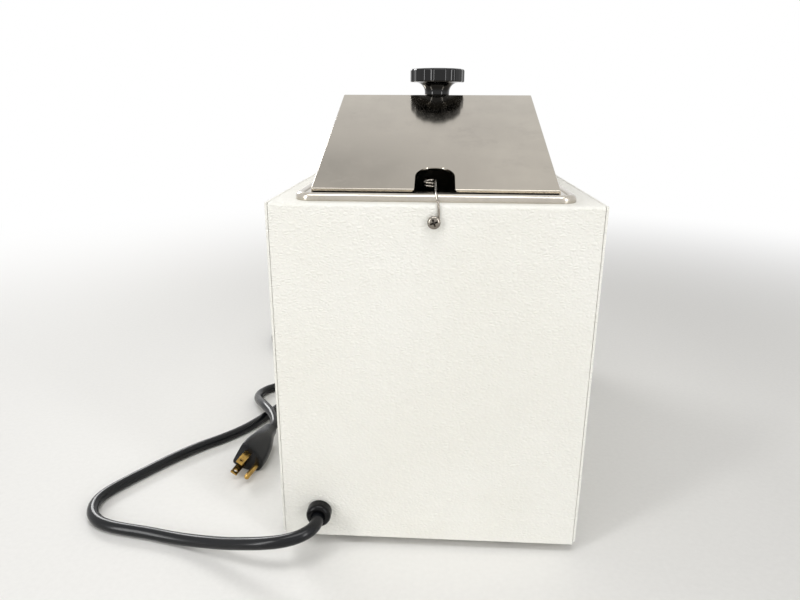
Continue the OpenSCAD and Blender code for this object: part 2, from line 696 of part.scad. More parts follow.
module lamp_lens() color([0.95, 0.45, 0.08]) {
    lens_r = lamp_hole_d / 2 - 1.1;
    lens_l = 9.5;
    dome_h = 2.2;
    dome_r = (lens_r * lens_r + dome_h * dome_h) / 2 / dome_h;
    translate([lamp_x, plate_y + 6, panel_z]) rotate([90, 0, 0]) rotate_extrude($fn = round_fn)
        polygon(concat([[0, 0], [lens_r, 0]],
            arc([0, lens_l + dome_h - dome_r], dome_r, acos(lens_r / dome_r), 90, 6)));
}

module control_plate() color([0.75, 0.76, 0.77]) difference() {
    translate([0, front_y, panel_z]) rotate([90, 0, 0]) linear_extrude(plate_t)
        round_rect(plate_w, plate_h, 4);
    rod_front(thermo_x, front_y + cut, panel_z, thermo_hole_d / 2, plate_t + 2 * cut);
    rod_front(lamp_x, front_y + cut, panel_z, lamp_hole_d / 2, plate_t + 2 * cut);
    block([switch_x - switch_hole_w / 2, plate_y - cut, panel_z - switch_hole_h / 2],
          [switch_x + switch_hole_w / 2, front_y + cut, panel_z + switch_hole_h / 2]);
    at_plate_corners() rod_front(0, plate_t + cut, 0, 1.3, plate_t + 2 * cut, 24);
}

module plate_screws() color([0.78, 0.78, 0.8])
    at_plate_corners() rotate([-90, 0, 0]) pan_screw(1.2, 2.4, 1.2, 6);

// Three clamps side by side, each open at both ends
module terminal_block() color([0.88, 0.87, 0.8]) difference() {
    block([term_x - 22, term_y, base_z], [term_x + 22, term_y + term_l, base_z + 16]);
    for (x = [-14, 0, 14]) {
        translate([term_x + x, term_y + term_l / 2, term_z + 4]) cylinder(h = 7, r = 3, $fn = 32);
        rod_back(term_x + x, term_y - cut, term_z, 2.2, term_l + 2 * cut, 32);
    }
}

module terminal_screws() color([0.78, 0.78, 0.8]) for (x = [-14, 0, 14])
    translate([term_x + x, term_y + term_l / 2, term_z + 4]) difference() {
        cylinder(h = 3.5, r = 2.8, $fn = 32);
        translate([-3, -0.4, 2.3]) cube([6, 0.8, 2]);
    }

// Stud with a washer and a nut on the base plate, for the earth wire
module earth_stud() color([0.8, 0.65, 0.3]) translate([term_x + 26, term_y - 22, base_z]) {
    cylinder(h = 1, r = 5, $fn = 32);
    cylinder(h = 12, r = 2.5, $fn = 32);
    translate([0, 0, 1]) cylinder(h = 3.5, r = 4 / cos(30), $fn = 6);
}

// Insulated wires from the terminal block to the switch, thermostat, limit thermostat and heating element
module wiring() color([0.75, 0.16, 0.12]) {
    wire_r = 1.3;
    low_z = base_z + 3;
    limit_y = mid_y - tank_out_l / 2 - 12.5;
    run_y = duct_y + 1;
    tube([[term_x - 14, term_y, term_z], [term_x - 14, term_y - 6, term_z],
          [term_x - 13, term_y - 16, low_z], [term_x - 12, term_y - 60, low_z],
          [term_x - 6, mid_y, low_z], [switch_x - 2, spade_y + 64, low_z],
          [switch_x, spade_y + 30, low_z + 6], [switch_x, spade_y + 16, panel_z - 16],
          [switch_x, spade_y + 7, panel_z - 8], [switch_x, spade_y, panel_z - 8]], wire_r);
    tube([[switch_x, spade_y, panel_z], [switch_x, spade_y + 6, panel_z],
          [switch_x - 12, spade_y + 18, panel_z - 1], [switch_x - 34, spade_y + 22, panel_z - 2],
          [lamp_x - 14, spade_y + 22, panel_z - 3], [thermo_x + 16, thermo_back_y + 12, panel_z - 2],
          [thermo_x + 6, thermo_back_y + 6, panel_z - 2], [thermo_x + 6, thermo_back_y, panel_z - 2]],
         wire_r);
    tube([[term_x + 14, term_y, term_z], [term_x + 14, term_y - 6, term_z],
          [term_x + 15, term_y - 16, low_z], [wire_x - 2, mid_y + 40, low_z],
          [wire_x, mid_y - 80, low_z], [wire_x, run_y + 16, low_z],
          [wire_x, run_y + 4, low_z + 8], [wire_x, run_y, low_z + 24], [wire_x - 1, run_y, shield_z - 10],
          [wire_x - 6, run_y, shield_z + 2], [limit_x + 16, run_y, stud_z - 6],
          [limit_x + 8, limit_y, limit_z - 28], [limit_x + 4, limit_y, limit_z - 16],
          [limit_x + 4, limit_y, limit_z - 0.4]], wire_r);
}

// End of the mains cord inside the cabinet, from the bushing's mouth to the terminal block
module inner_lead() color([0.06, 0.06, 0.065]) tube([
    [gland_x, back_y + gland_out, gland_z], [gland_x, back_y, gland_z],
    [gland_x, inner_back_y - gland_in - 1, gland_z], [gland_x - 3, inner_back_y - gland_in - 9, gland_z - 2],
    [gland_x - 9, inner_back_y - gland_in - 18, gland_z - 5],
    [(gland_x - 8 + term_x) / 2, inner_back_y - gland_in - 26, gland_z - 9],
    [term_x + 3, term_y + term_l + 12, term_z + 2], [term_x, term_y + term_l + 6, term_z + 1],
    [term_x, term_y + term_l, term_z + 1]], cord_d / 2, 12);

// Round bushing that grips the cord in the back panel
module strain_relief() color([0.05, 0.05, 0.055])
    translate([gland_x, back_y, gland_z]) rotate([-90, 0, 0]) rotate_extrude($fn = 2 * round_fn) {
        bore = cord_d / 2 + 0.1;
        neck = gland_d * 0.36 - 0.2;
        soft = 2.2;
        translate([bore, 0]) square([gland_d / 2 - bore, gland_out - soft]);
        translate([bore, 0]) square([gland_d / 2 - soft - bore, gland_out]);
        translate([gland_d / 2 - soft, gland_out - soft]) circle(soft, $fn = 32);
        translate([bore, -wrap_t]) square([neck - bore, wrap_t]);
        polygon([[bore, -wrap_t - gland_in], [bore + 1, -wrap_t - gland_in],
                 [neck + 1.4, -wrap_t - gland_in / 2], [neck + 1.4, -wrap_t], [bore, -wrap_t]]);
    }

// Route of the cord from the bushing, along the table, to the coil beside the cabinet
cord_route = [
    [80, 222, 28], [80, 228, 28], [83, 236, 27.7], [91, 242.5, 26.7], [102, 245, 24.7], [115, 244, 21.8],
    [129, 240.5, 18], [144, 235.5, 13.5], [159, 230, 9.5], [175, 225, 6.5], [192, 220.5, 4.8],
    [210, 216.5, 4.5], [228, 213.5, 4.5], [243, 210.5, 4.5], [256, 205, 4.5], [266, 195, 4.5],
    [270.5, 181, 4.5], [268, 167, 4.5], [259, 150, 4.5], [247, 131, 4.5], [234, 111, 4.5], [218, 91, 4.5],
    [201, 74, 4.5], [187, 57, 4.5], [176, 38, 4.5], [167, 18, 4.5], [158, -4, 4.5], [147, -28, 4.5],
    [136, -54, 4.5], [127, -82, 4.5], [120, -112, 4.5], [116.5, -145, 4.5], [115.5, -180, 4.5],
    [115.5, -215, 4.5]];
plug_roll = atan(14 / 8);
plug_yaw = -10;
plug_z = plug_w / 2 * sin(plug_roll) + 3 * cos(plug_roll);
// Route of the cord from the top of the coil, over the first stretch, to the plug
lead_route = [
    [216.5, -215, 13.5], [215.8, -198, 13.2], [211.5, -178, 9.5], [202, -159, 5.5], [188, -140, 4.5],
    [174, -122, 4.5], [161, -104, 4.5], [153.5, -89, 4.5], [151.5, -75, 4.5], [156, -62, 4.5],
    [165.5, -52.5, 4.5], [176.5, -45, 4.5], [185.5, -36, 4.6], [190, -24, 5.4], [189, -11.5, 6.8],
    [184.5, 0, 8.9], [178.5, 11, 11.7], [172.5, 21, 13.6], [166, 30.5, 14], [160, 40.5, 13.8],
    [155.5, 51, 13.2], [153.64, 60.54, plug_z], [155.2, 69.4, plug_z]];
plug_end = lead_route[len(lead_route) - 1];
plug_place = plug_end + (plug_l + tail_l) * [-sin(plug_yaw), cos(plug_yaw), 0];
coil_x = 166;
coil_y = -215;
coil_in = 41.5;
coil_out = 50.5;
coil_layers = 2;

module power_cord() color([0.06, 0.06, 0.065]) tube(cord_route, cord_d / 2, 10);
module plug_lead() color([0.06, 0.06, 0.065]) tube(lead_route, cord_d / 2, 10);

// Outer shape of the coil, two turns wide and two turns high
module cord_coil() color([0.06, 0.06, 0.065]) translate([coil_x, coil_y, 0]) difference() {
    cylinder(h = coil_layers * cord_d, r = coil_out + cord_d / 2, $fn = 2 * round_fn);
    translate([0, 0, -cut])
        cylinder(h = coil_layers * cord_d + 2 * cut, r = coil_in - cord_d / 2, $fn = 2 * round_fn);
}

module at_plug() {
    translate(plug_place) rotate([0, 0, plug_yaw]) rotate([0, plug_roll, 0]) children();
}

// Section of the plug across its blades, narrower towards the ground pin
module plug_section() {
    foot = plug_w / 2 - 8;
    polygon([[-plug_w / 2, 9], [plug_w / 2, 9], [plug_w / 2, -3],
             [foot, -17], [-foot, -17], [-plug_w / 2, -3]]);
}

module plug_body() color([0.05, 0.05, 0.055]) at_plug() {
    rotate([90, 0, 0]) linear_extrude(plug_l * 0.6) plug_section();
    hull() {
        translate([0, -plug_l * 0.6 + 0.01, 0]) rotate([90, 0, 0]) linear_extrude(0.01) plug_section();
        rod_front(0, -plug_l + 1, -1, 10.5, 1, 32);
    }
    hull() {
        rod_front(0, -plug_l + 1, -1, 10, 1, 32);
        rod_front(0, -plug_l - tail_l + 1, 0, cord_d / 2 + 2, 1, 32);
    }
}

module plug_blades() color([0.8, 0.62, 0.25]) at_plug() for (s = [-1, 1]) difference() {
    block([s * 6.35 - 0.75, 0, -3.15], [s * 6.35 + 0.75, 17.5, 3.15]);
    translate([s * 6.35 - 2, 13.5, 0]) rotate([0, 90, 0]) cylinder(h = 4, r = 1.6, $fn = 32);
}

module ground_pin() color([0.8, 0.62, 0.25]) at_plug() {
    translate([0, 0, -11.9]) rotate([-90, 0, 0]) cylinder(h = 19, r = 2.35, $fn = 32);
    translate([0, 19, -11.9]) sphere(2.35, $fn = 32);
}

// Eye under the screw, a shank up the back and over the rim, and loops that stand over the water
holder_route = concat(
    [for (a = [470 : -29 : 180]) [2.9 * cos(a), back_y + wire_d / 2 + 0.05, clip_z + 2.9 * sin(a)]],
    [[-2.9, back_y + wire_d / 2 + 0.05, clip_z + 5], [-2.6, back_y + wire_d / 2 + 0.05, top_z - 1],
     [-2.2, back_y - 0.2, top_z + 1.6], [-1.6, (back_y + bead_crest_y + bead_w / 2) / 2, bead_crest_z - 1.2],
     [-1, bead_crest_y + 2.5, bead_crest_z + 0.6], [loop_off - loop_r, bead_crest_y - 3, bead_crest_z + 1.2],
     [loop_off - loop_r, loop_y + 18, loop_top_z - 1.6], [loop_off - loop_r, loop_y + 6, loop_top_z]],
    [for (a = [0 : 20 : 360 * loop_turns])
        [loop_off - loop_r * cos(a), loop_y - loop_r * sin(a), loop_top_z - a * loop_pitch / 360]]);

module thermometer_holder() color([0.8, 0.8, 0.78]) tube(holder_route, wire_d / 2, 8, [0, 1, 0]);

module holder_screw() color([0.8, 0.8, 0.78])
    translate([0, back_y + wire_d + 0.1, clip_z]) rotate([90, 0, 0]) pan_screw(screw_r, 4.2, 2.6, 8.5);

module holder_nut() color([0.78, 0.78, 0.8])
    translate([0, inner_back_y, clip_z]) rotate([90, 0, 0]) hex_nut(7, nut_t, screw_r + 0.05);

// Perforated shelf with legs folded down along its long sides
module diffuser_shelf() color([0.77, 0.77, 0.76]) {
    shelf_w = tank_w - 2 * shelf_gap;
    shelf_l = tank_l - 2 * shelf_gap;
    leg_l = shelf_l - 2 * tank_r;
    cols = floor((shelf_w / 2 - shelf_hole_d) / shelf_pitch);
    rows = floor((shelf_l / 2 - shelf_hole_d - 4) / shelf_pitch);
    translate([0, mid_y, floor_z]) {
        difference() {
            translate([0, 0, shelf_h - shelf_t]) linear_extrude(shelf_t)
                round_rect(shelf_w, shelf_l, tank_r - shelf_gap);
            for (i = [-cols : cols], j = [-rows : rows])
                translate([i * shelf_pitch, j * shelf_pitch, shelf_h - shelf_t - cut])
                    cylinder(h = shelf_t + 2 * cut, r = shelf_hole_d / 2, $fn = 32);
        }
        for (s = [-1, 1]) block([s * (shelf_w - shelf_t) / 2 - shelf_t / 2, -leg_l / 2, 0],
                                [s * (shelf_w - shelf_t) / 2 + shelf_t / 2, leg_l / 2, shelf_h - shelf_t]);
    }
}

// Side view of the lid: an upright lip, a slope, the flat top and the same again
module gable(l, w_flat, lip, rise, low) {
    polygon([[-l / 2, low], [-l / 2, lip], [-w_flat / 2, lip + rise],
             [w_flat / 2, lip + rise], [l / 2, lip], [l / 2, low]]);
}

// Folded sheet lid with two slopes, upright end walls, and a notch at the back for the thermometer
module lid_shell() color([0.72, 0.7, 0.66]) {
    in_l = lid_l - 2 * lid_t;
    in_lip = lid_lip + lid_t * tan(lid_slope) - lid_t / cos(lid_slope);
    in_rise = lid_lip + lid_rise - lid_t - in_lip;
    in_flat = in_l - 2 * in_rise / tan(lid_slope);
    soft = 2.5;
    notch_mid = lid_back_y - notch_l + notch_w / 2;
    difference() {
        translate([0, mid_y, lip_z]) rotate([90, 0, 90]) union() {
            translate([0, 0, -lid_w / 2]) linear_extrude(lid_w) gable(lid_l, lid_flat, lid_lip, lid_rise, 0);
            for (x = [-lid_w / 2, lid_w / 2 - lid_t])
                translate([0, 0, x]) linear_extrude(lid_t)
                    gable(lid_l, lid_flat, lid_lip, lid_rise, -lid_skirt);
        }
        translate([0, mid_y, lip_z]) rotate([90, 0, 90]) translate([0, 0, -lid_w / 2 + lid_t])
            linear_extrude(lid_w - 2 * lid_t) gable(in_l, in_flat, in_lip, in_rise, -lid_skirt - cut);
        translate([0, 0, lip_z - cut]) linear_extrude(lid_rise) {
            translate([0, notch_mid]) circle(notch_w / 2, $fn = 2 * round_fn);
            translate([-notch_w / 2, notch_mid]) square([notch_w, notch_l]);
        }
        for (s = [-1, 1]) translate([s * notch_w / 2, lid_back_y + cut, lip_z]) rotate([90, 0, 0])
            linear_extrude(lid_t + 2 * cut) difference() {
                translate([s > 0 ? -cut : -soft, -cut]) square([soft + cut, soft + cut]);
                translate([s * soft, soft]) circle(soft, $fn = 32);
            }
        translate([0, mid_y, ridge_z - 2 * lid_t])
            cylinder(h = 3 * lid_t, r = knob_screw_d / 2 + 0.2, $fn = 32);
    }
}

// Points on a quarter of a circle around c, from the angle a to the angle b
function arc(c, r, a, b, n = 8) =
    [for (i = [0 : n]) let (t = a + (b - a) * i / n) c + r * [cos(t), sin(t)]];

// Moulded knob: trumpet neck under a fluted rim
module lid_knob() color([0.04, 0.04, 0.045]) translate([0, mid_y, ridge_z]) {
    neck = knob_neck_d / 2;
    rim = knob_d / 2;
    flare = knob_under - 4.5;
    edge = 1.6;
    crown = 0.8;
    difference() {
        rotate_extrude($fn = 2 * round_fn) polygon(concat(
            [[0, 0], [neck, 0]],
            arc([neck + flare, knob_under - flare], flare, 180, 90),
            [[rim - 1, knob_under]], arc([rim - 1, knob_under + 1], 1, -90, 0, 3),
            arc([rim - edge, knob_h - crown - edge], edge, 0, 90, 4),
            [[rim - edge - 4, knob_h - crown / 3], [0, knob_h]]));
        for (i = [0 : knob_flutes - 1]) rotate(i * 360 / knob_flutes + 74)
            translate([rim + flute_r - flute_depth, 0, knob_under - cut])
                cylinder(h = knob_h, r = flute_r, $fn = round_fn);
        translate([0, 0, -cut])
            cylinder(h = knob_screw_in + 1 + cut, r = knob_screw_d / 2 + run_clear, $fn = 32);
    }
}

module knob_washer() color([0.78, 0.78, 0.8]) translate([0, mid_y, ridge_z - lid_t - 1]) difference() {
    cylinder(h = 1, r = knob_screw_d, $fn = 32);
    translate([0, 0, -cut]) cylinder(h = 1 + 2 * cut, r = knob_screw_d / 2 + 0.2, $fn = 32);
}

module knob_screw() color([0.78, 0.78, 0.8]) translate([0, mid_y, ridge_z - lid_t - 1])
    pan_screw(knob_screw_d / 2, knob_screw_d * 0.9, 2.8, knob_screw_in + lid_t + 1);

cabinet_wrap();
side_panel_right();
side_panel_left();
base_plate();
base_screws();
feet();
foot_screws();
foot_nuts();
tank();
heating_element();
pressing_plate();
tank_studs();
stud_nuts();
insulation_bottom();
insulation_sides();
insulation_ends();
heat_shield();
thermostat_bulb();
bulb_clip();
capillary();
limit_thermostat();
thermostat_body();
thermostat_nut();
thermostat_shaft();
thermostat_knob();
switch_housing();
power_rocker();
lamp_body();
lamp_lens();
control_plate();
plate_screws();
terminal_block();
terminal_screws();
earth_stud();
wiring();
inner_lead();
strain_relief();
power_cord();
cord_coil();
plug_lead();
plug_body();
plug_blades();
ground_pin();
thermometer_holder();
holder_screw();
holder_nut();
diffuser_shelf();
lid_shell();
lid_knob();
knob_screw();
knob_washer();
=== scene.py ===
"""Looks of the laboratory water bath: finishes, soft shapes, cord, light and camera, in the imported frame."""
import logging
from collections.abc import Callable
from dataclasses import dataclass
from enum import Enum
from functools import cache
from math import acos, atan2, cos, degrees, pi, radians, sin, sqrt

import bmesh
import bpy
from mathutils import Matrix, Vector


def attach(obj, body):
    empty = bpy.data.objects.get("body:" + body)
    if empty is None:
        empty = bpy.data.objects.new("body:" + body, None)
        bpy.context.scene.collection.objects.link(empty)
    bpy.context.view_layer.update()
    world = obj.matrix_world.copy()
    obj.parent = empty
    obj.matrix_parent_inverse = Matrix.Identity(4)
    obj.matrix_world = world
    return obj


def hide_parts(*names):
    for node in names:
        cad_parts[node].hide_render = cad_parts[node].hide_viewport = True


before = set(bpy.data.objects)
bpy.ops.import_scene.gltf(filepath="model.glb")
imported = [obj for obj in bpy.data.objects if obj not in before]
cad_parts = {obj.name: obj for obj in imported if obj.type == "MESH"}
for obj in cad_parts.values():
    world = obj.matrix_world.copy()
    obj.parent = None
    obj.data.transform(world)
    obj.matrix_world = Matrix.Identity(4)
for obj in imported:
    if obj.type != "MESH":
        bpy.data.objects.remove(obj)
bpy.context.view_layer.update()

LOG = logging.getLogger("water_bath")
MM = 0.001

Colour = tuple[int, int, int]
Point = tuple[float, float, float]
Profile = list[tuple[float, float]]
Ring = list[Vector]
Surface = tuple[list[Vector], list[tuple[int, ...]]]


class Body(Enum):
    """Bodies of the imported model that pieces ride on."""

    CABINET = "cabinet"
    LID = "lid"
    SHELF = "shelf"
    DIAL = "dial"
    ROCKER = "rocker"


class Slot(Enum):
    """Material slots of the record."""

    CABINET_PAINT = "cabinet_paint"
    ZINC = "zinc"
    STAINLESS_TANK = "stainless_tank"
    STAINLESS_LID = "stainless_lid"
    SPRING_WIRE = "spring_wire"
    SHAFT_STEEL = "shaft_steel"
    HEATER_MICA = "heater_mica"
    INSULATION = "insulation"
    COPPER = "copper"
    BRASS = "brass"
    FOOT_RUBBER = "foot_rubber"
    PHENOLIC = "phenolic"
    BLACK_MOULDING = "black_moulding"
    CORD_RUBBER = "cord_rubber"
    LAMP_METAL = "lamp_metal"
    LAMP_AMBER = "lamp_amber"
    PLATE_METAL = "plate_metal"
    BLOCK_PLASTIC = "block_plastic"
    WIRE_RED = "wire_red"


# Node graphs and the effects that several finishes share


class Graph:
    """A shader node tree with short ways to add and join nodes."""

    def __init__(self, tree: bpy.types.NodeTree) -> None:
        """Keeps the tree."""
        self.tree = tree

    def add(self, kind: str, inputs: dict | None = None, **settings: object) -> bpy.types.Node:
        """Adds a node.

        Args:
            kind: the node's type without its ShaderNode prefix.
            inputs: a value or a socket for each input, by name or number.
            settings: properties of the node.

        Returns:
            The new node.
        """
        node = self.tree.nodes.new("ShaderNode" + kind)
        for name, value in settings.items():
            setattr(node, name, value)
        for key, value in (inputs or {}).items():
            self.feed(node.inputs[key], value)
        return node

    def feed(self, socket: bpy.types.NodeSocket, value: object) -> None:
        """Joins or sets an input.

        Args:
            socket: the input.
            value: the socket to join to it, or its plain value.
        """
        if isinstance(value, bpy.types.NodeSocket):
            self.tree.links.new(value, socket)
        else:
            socket.default_value = value

    def math(self, operation: str, *values: object, clamp: bool = False) -> bpy.types.NodeSocket:
        """Returns the result of a Math node on the values."""
        return self.add("Math", dict(enumerate(values)), operation=operation, use_clamp=clamp).outputs[0]

    def total(self, *terms: tuple[object, float], base: object = 0.0, clamp: bool = False
              ) -> bpy.types.NodeSocket:
        """Adds up weighted values.

        Args:
            terms: each value with its weight.
            base: what they are added to.
            clamp: keeps the sum within 0..1.

        Returns:
            The sum.
        """
        for count, (value, weight) in enumerate(terms, 1):
            base = self.math("MULTIPLY_ADD", value, weight, base, clamp=clamp and count == len(terms))
        return base

    def vector(self, operation: str, a: object, b: object) -> bpy.types.NodeSocket:
        """Returns the vector that a Vector Math node makes of a and b."""
        return self.add("VectorMath", {0: a, 1: b}, operation=operation).outputs["Vector"]

    def scaled(self, vector: object, factor: object) -> bpy.types.NodeSocket:
        """Returns the vector times the factor."""
        return self.add("VectorMath", {0: vector, "Scale": factor}, operation="SCALE").outputs["Vector"]

    def ramp(self, value: object, low: float, high: float, falling: bool = False) -> bpy.types.NodeSocket:
        """Eases a value from 0 to 1.

        Args:
            value: the value.
            low: where the result leaves 0.
            high: where it comes to 1.
            falling: makes it fall from 1 to 0 instead.

        Returns:
            The eased value.
        """
        inputs = {"Value": value, "From Min": low, "From Max": high,
                  "To Min": float(falling), "To Max": float(not falling)}
        return self.add("MapRange", inputs, interpolation_type="SMOOTHSTEP").outputs["Result"]

    def mix(self, factor: object, a: object, b: object) -> bpy.types.NodeSocket:
        """Returns the colour between a and b at the factor."""
        return self.add("Mix", {0: factor, 6: a, 7: b}, data_type="RGBA").outputs[2]

    def noise(self, vector: object, scale: object, detail: float, rough: float = 0.5) -> bpy.types.NodeSocket:
        """Returns the value of a Noise Texture at the vector."""
        settings = {"Vector": vector, "Scale": scale, "Detail": detail, "Roughness": rough}
        return self.add("TexNoise", settings).outputs["Fac"]

    def coords(self) -> bpy.types.NodeSocket:
        """Returns the piece's own coordinates in metres."""
        return self.add("TexCoord").outputs["Object"]

    def stretched(self, scale: Point) -> bpy.types.NodeSocket:
        """Returns the piece's own coordinates times a scale for each axis."""
        return self.add("Mapping", {"Vector": self.coords(), "Scale": scale}).outputs["Vector"]


class Effect(Graph):
    """A shader node group of plain number sockets."""

    def __init__(self, name: str, inputs: dict[str, float], outputs: tuple[str, ...]) -> None:
        """Starts the group.

        Args:
            name: the group's name.
            inputs: default of each input.
            outputs: names of the outputs.
        """
        super().__init__(bpy.data.node_groups.new(name, "ShaderNodeTree"))
        sockets = self.tree.interface
        for key, value in inputs.items():
            sockets.new_socket(key, in_out="INPUT", socket_type="NodeSocketFloat").default_value = value
        for key in outputs:
            sockets.new_socket(key, in_out="OUTPUT", socket_type="NodeSocketFloat")
        self.given = self.tree.nodes.new("NodeGroupInput").outputs
        self.result = self.tree.nodes.new("NodeGroupOutput").inputs

    def close(self, **values: bpy.types.NodeSocket) -> bpy.types.NodeTree:
        """Feeds the outputs.

        Args:
            values: what each output gives.

        Returns:
            The finished group.
        """
        for key, value in values.items():
            self.feed(self.result[key], value)
        return self.tree


@cache
def leather_grain() -> bpy.types.NodeTree:
    """Builds pebbled paint: rounded cells, pushed out of line, with creases between them.

    Returns:
        The group, with the height and the creases of the grain.
    """
    group = Effect("leather_grain", {"Cells": 420.0, "Warp": 0.0009}, ("Height", "Crease"))
    coords = group.stretched((1.0, 1.0, 1.7))
    wobble = group.add("TexNoise", {"Vector": coords, "Scale": 330.0, "Detail": 2.0}).outputs["Color"]
    push = group.scaled(group.vector("SUBTRACT", wobble, (0.5, 0.5, 0.5)), group.given["Warp"])
    cells = {"Vector": group.vector("ADD", coords, push), "Scale": group.given["Cells"]}
    edge = group.add("TexVoronoi", cells, feature="DISTANCE_TO_EDGE").outputs["Distance"]
    dome = group.ramp(edge, low=0.0, high=0.42)
    swell = group.noise(coords, scale=130.0, detail=2.0)
    fine = group.noise(coords, scale=1500.0, detail=3.0)
    return group.close(Height=group.total((dome, 0.6), (swell, 0.5), (fine, 0.18)),
                       Crease=group.ramp(edge, low=0.0, high=0.12, falling=True))


@cache
def brushed_lines() -> bpy.types.NodeTree:
    """Builds lines along X, or along Y at a turn of 90 degrees, as rolled or brushed sheet has.

    Returns:
        The group, with the fine lines and the broad bands among them.
    """
    group = Effect("brushed_lines", {"Lines": 1400.0, "Reach": 9.0, "Turn": 0.0}, ("Line", "Band"))
    turn = {"Vector": group.coords(), "Angle": group.math("RADIANS", group.given["Turn"])}
    spun = group.add("VectorRotate", turn, rotation_type="Z_AXIS").outputs[0]
    x, y, z = group.add("SeparateXYZ", {0: spun}).outputs
    squeezed = {axis: group.math("MULTIPLY", value, group.given[name])
                for axis, value, name in ((0, x, "Reach"), (1, y, "Lines"), (2, z, "Lines"))}
    lines = group.add("CombineXYZ", squeezed).outputs[0]
    return group.close(Line=group.noise(lines, scale=1.0, detail=3.0, rough=0.65),
                       Band=group.noise(group.scaled(lines, 0.055), scale=1.0, detail=2.0))


@cache
def handling_marks() -> bpy.types.NodeTree:
    """Builds soft cloudy marks and a few finer smears, as wiped or touched surfaces have.

    Returns:
        The group, with the clouds and the smears.
    """
    group = Effect("handling_marks", {"Size": 14.0}, ("Cloud", "Smear"))
    cloud = group.noise(group.coords(), group.given["Size"], detail=3.0, rough=0.55)
    finer = group.math("MULTIPLY", group.given["Size"], 4.5)
    smear = group.noise(group.coords(), finer, detail=5.0, rough=0.7)
    return group.close(Cloud=group.ramp(cloud, low=0.32, high=0.7),
                       Smear=group.ramp(smear, low=0.5, high=0.78))


@cache
def fine_grain() -> bpy.types.NodeTree:
    """Builds the fine matt grain of moulded or cast pieces.

    Returns:
        The group, with the grain's height and the paler specks in it.
    """
    group = Effect("fine_grain", {"Grain": 1800.0}, ("Height", "Speck"))
    grain = group.noise(group.coords(), group.given["Grain"], detail=3.0, rough=0.6)
    coarser = group.math("MULTIPLY", group.given["Grain"], 0.22)
    speck = group.noise(group.coords(), coarser, detail=2.0)
    return group.close(Height=grain, Speck=group.ramp(speck, low=0.45, high=0.75))


def linear(colour: Colour, *shades: float) -> tuple[float, float, float, float]:
    """Turns a colour into linear light.

    Args:
        colour: its red, green and blue, each 0..255.
        shades: a factor for all three, or one for each.

    Returns:
        The colour with full alpha.
    """
    factors = shades if len(shades) == len(colour) else (shades or (1.0,)) * len(colour)
    values = [int(part * factor) / 255 for part, factor in zip(colour, factors)]
    # The standard curve from a screen's values to linear light
    red, green, blue = (v / 12.92 if v <= 0.04045 else ((v + 0.055) / 1.055) ** 2.4 for v in values)
    return red, green, blue, 1.0


class Coating(Graph):
    """Node graph of one material around a Principled shader."""

    def __init__(self, name: str) -> None:
        """Makes the material.

        Args:
            name: its name.
        """
        self.material = bpy.data.materials.new(name)
        self.material.use_nodes = True
        super().__init__(self.material.node_tree)
        self.shader = self.tree.nodes["Principled BSDF"]

    def use(self, effect: Callable[[], bpy.types.NodeTree], **inputs: float) -> bpy.types.bpy_prop_collection:
        """Places a shared effect.

        Args:
            effect: builds the effect, once for all materials.
            inputs: this material's own values.

        Returns:
            The effect's outputs.
        """
        node = self.tree.nodes.new("ShaderNodeGroup")
        node.node_tree = effect()
        for key, value in inputs.items():
            node.inputs[key].default_value = value
        return node.outputs

    def set(self, **values: object) -> None:
        """Sets or joins inputs of the Principled shader, with _ for a space in a name."""
        for key, value in values.items():
            self.feed(self.shader.inputs[key.replace("_", " ")], value)

    def relief(self, height: object, depth: float) -> None:
        """Adds relief of that depth in metres from a height of 0..1."""
        bump = self.add("Bump", {"Height": height, "Distance": depth, "Strength": 1.0})
        self.feed(self.shader.inputs["Normal"], bump.outputs["Normal"])


# Finishes


@dataclass(frozen=True)
class GrainedPaint:
    """Thick cabinet paint with a pebbled grain, a little worn, with painted shade darkening its creases."""

    name: str
    colour: Colour
    roughness: float = 0.45
    cells: float = 290.0
    depth: float = 0.00042
    worn: tuple[float, float, float] = (0.965, 0.96, 0.945)
    wear: float = 0.55
    # Painted shade in the grain's creases: the colour there and how strongly it is mixed in
    creased: float = 0.9
    crease_tone: float = 0.14
    crease_rough: float = 0.2
    smear_rough: float = 0.08
    cloud_size: float = 7.0

    def build(self) -> bpy.types.Material:
        """Builds the paint.

        Returns:
            The material.
        """
        coat = Coating(self.name)
        grain = coat.use(leather_grain, Cells=self.cells)
        marks = coat.use(handling_marks, Size=self.cloud_size)
        wear = coat.math("MULTIPLY", marks["Cloud"], self.wear)
        aged = coat.mix(wear, linear(self.colour), linear(self.colour, *self.worn))
        # Painted shade: the creases between the grain's cells are darkened in colour
        painted_crease_shade = coat.math("MULTIPLY", grain["Crease"], self.crease_tone)
        rough = coat.total((grain["Crease"], self.crease_rough), (marks["Smear"], self.smear_rough),
                           base=self.roughness)
        coat.set(Base_Color=coat.mix(painted_crease_shade, aged, linear(self.colour, self.creased)), Roughness=rough)
        coat.relief(grain["Height"], self.depth)
        return coat.material


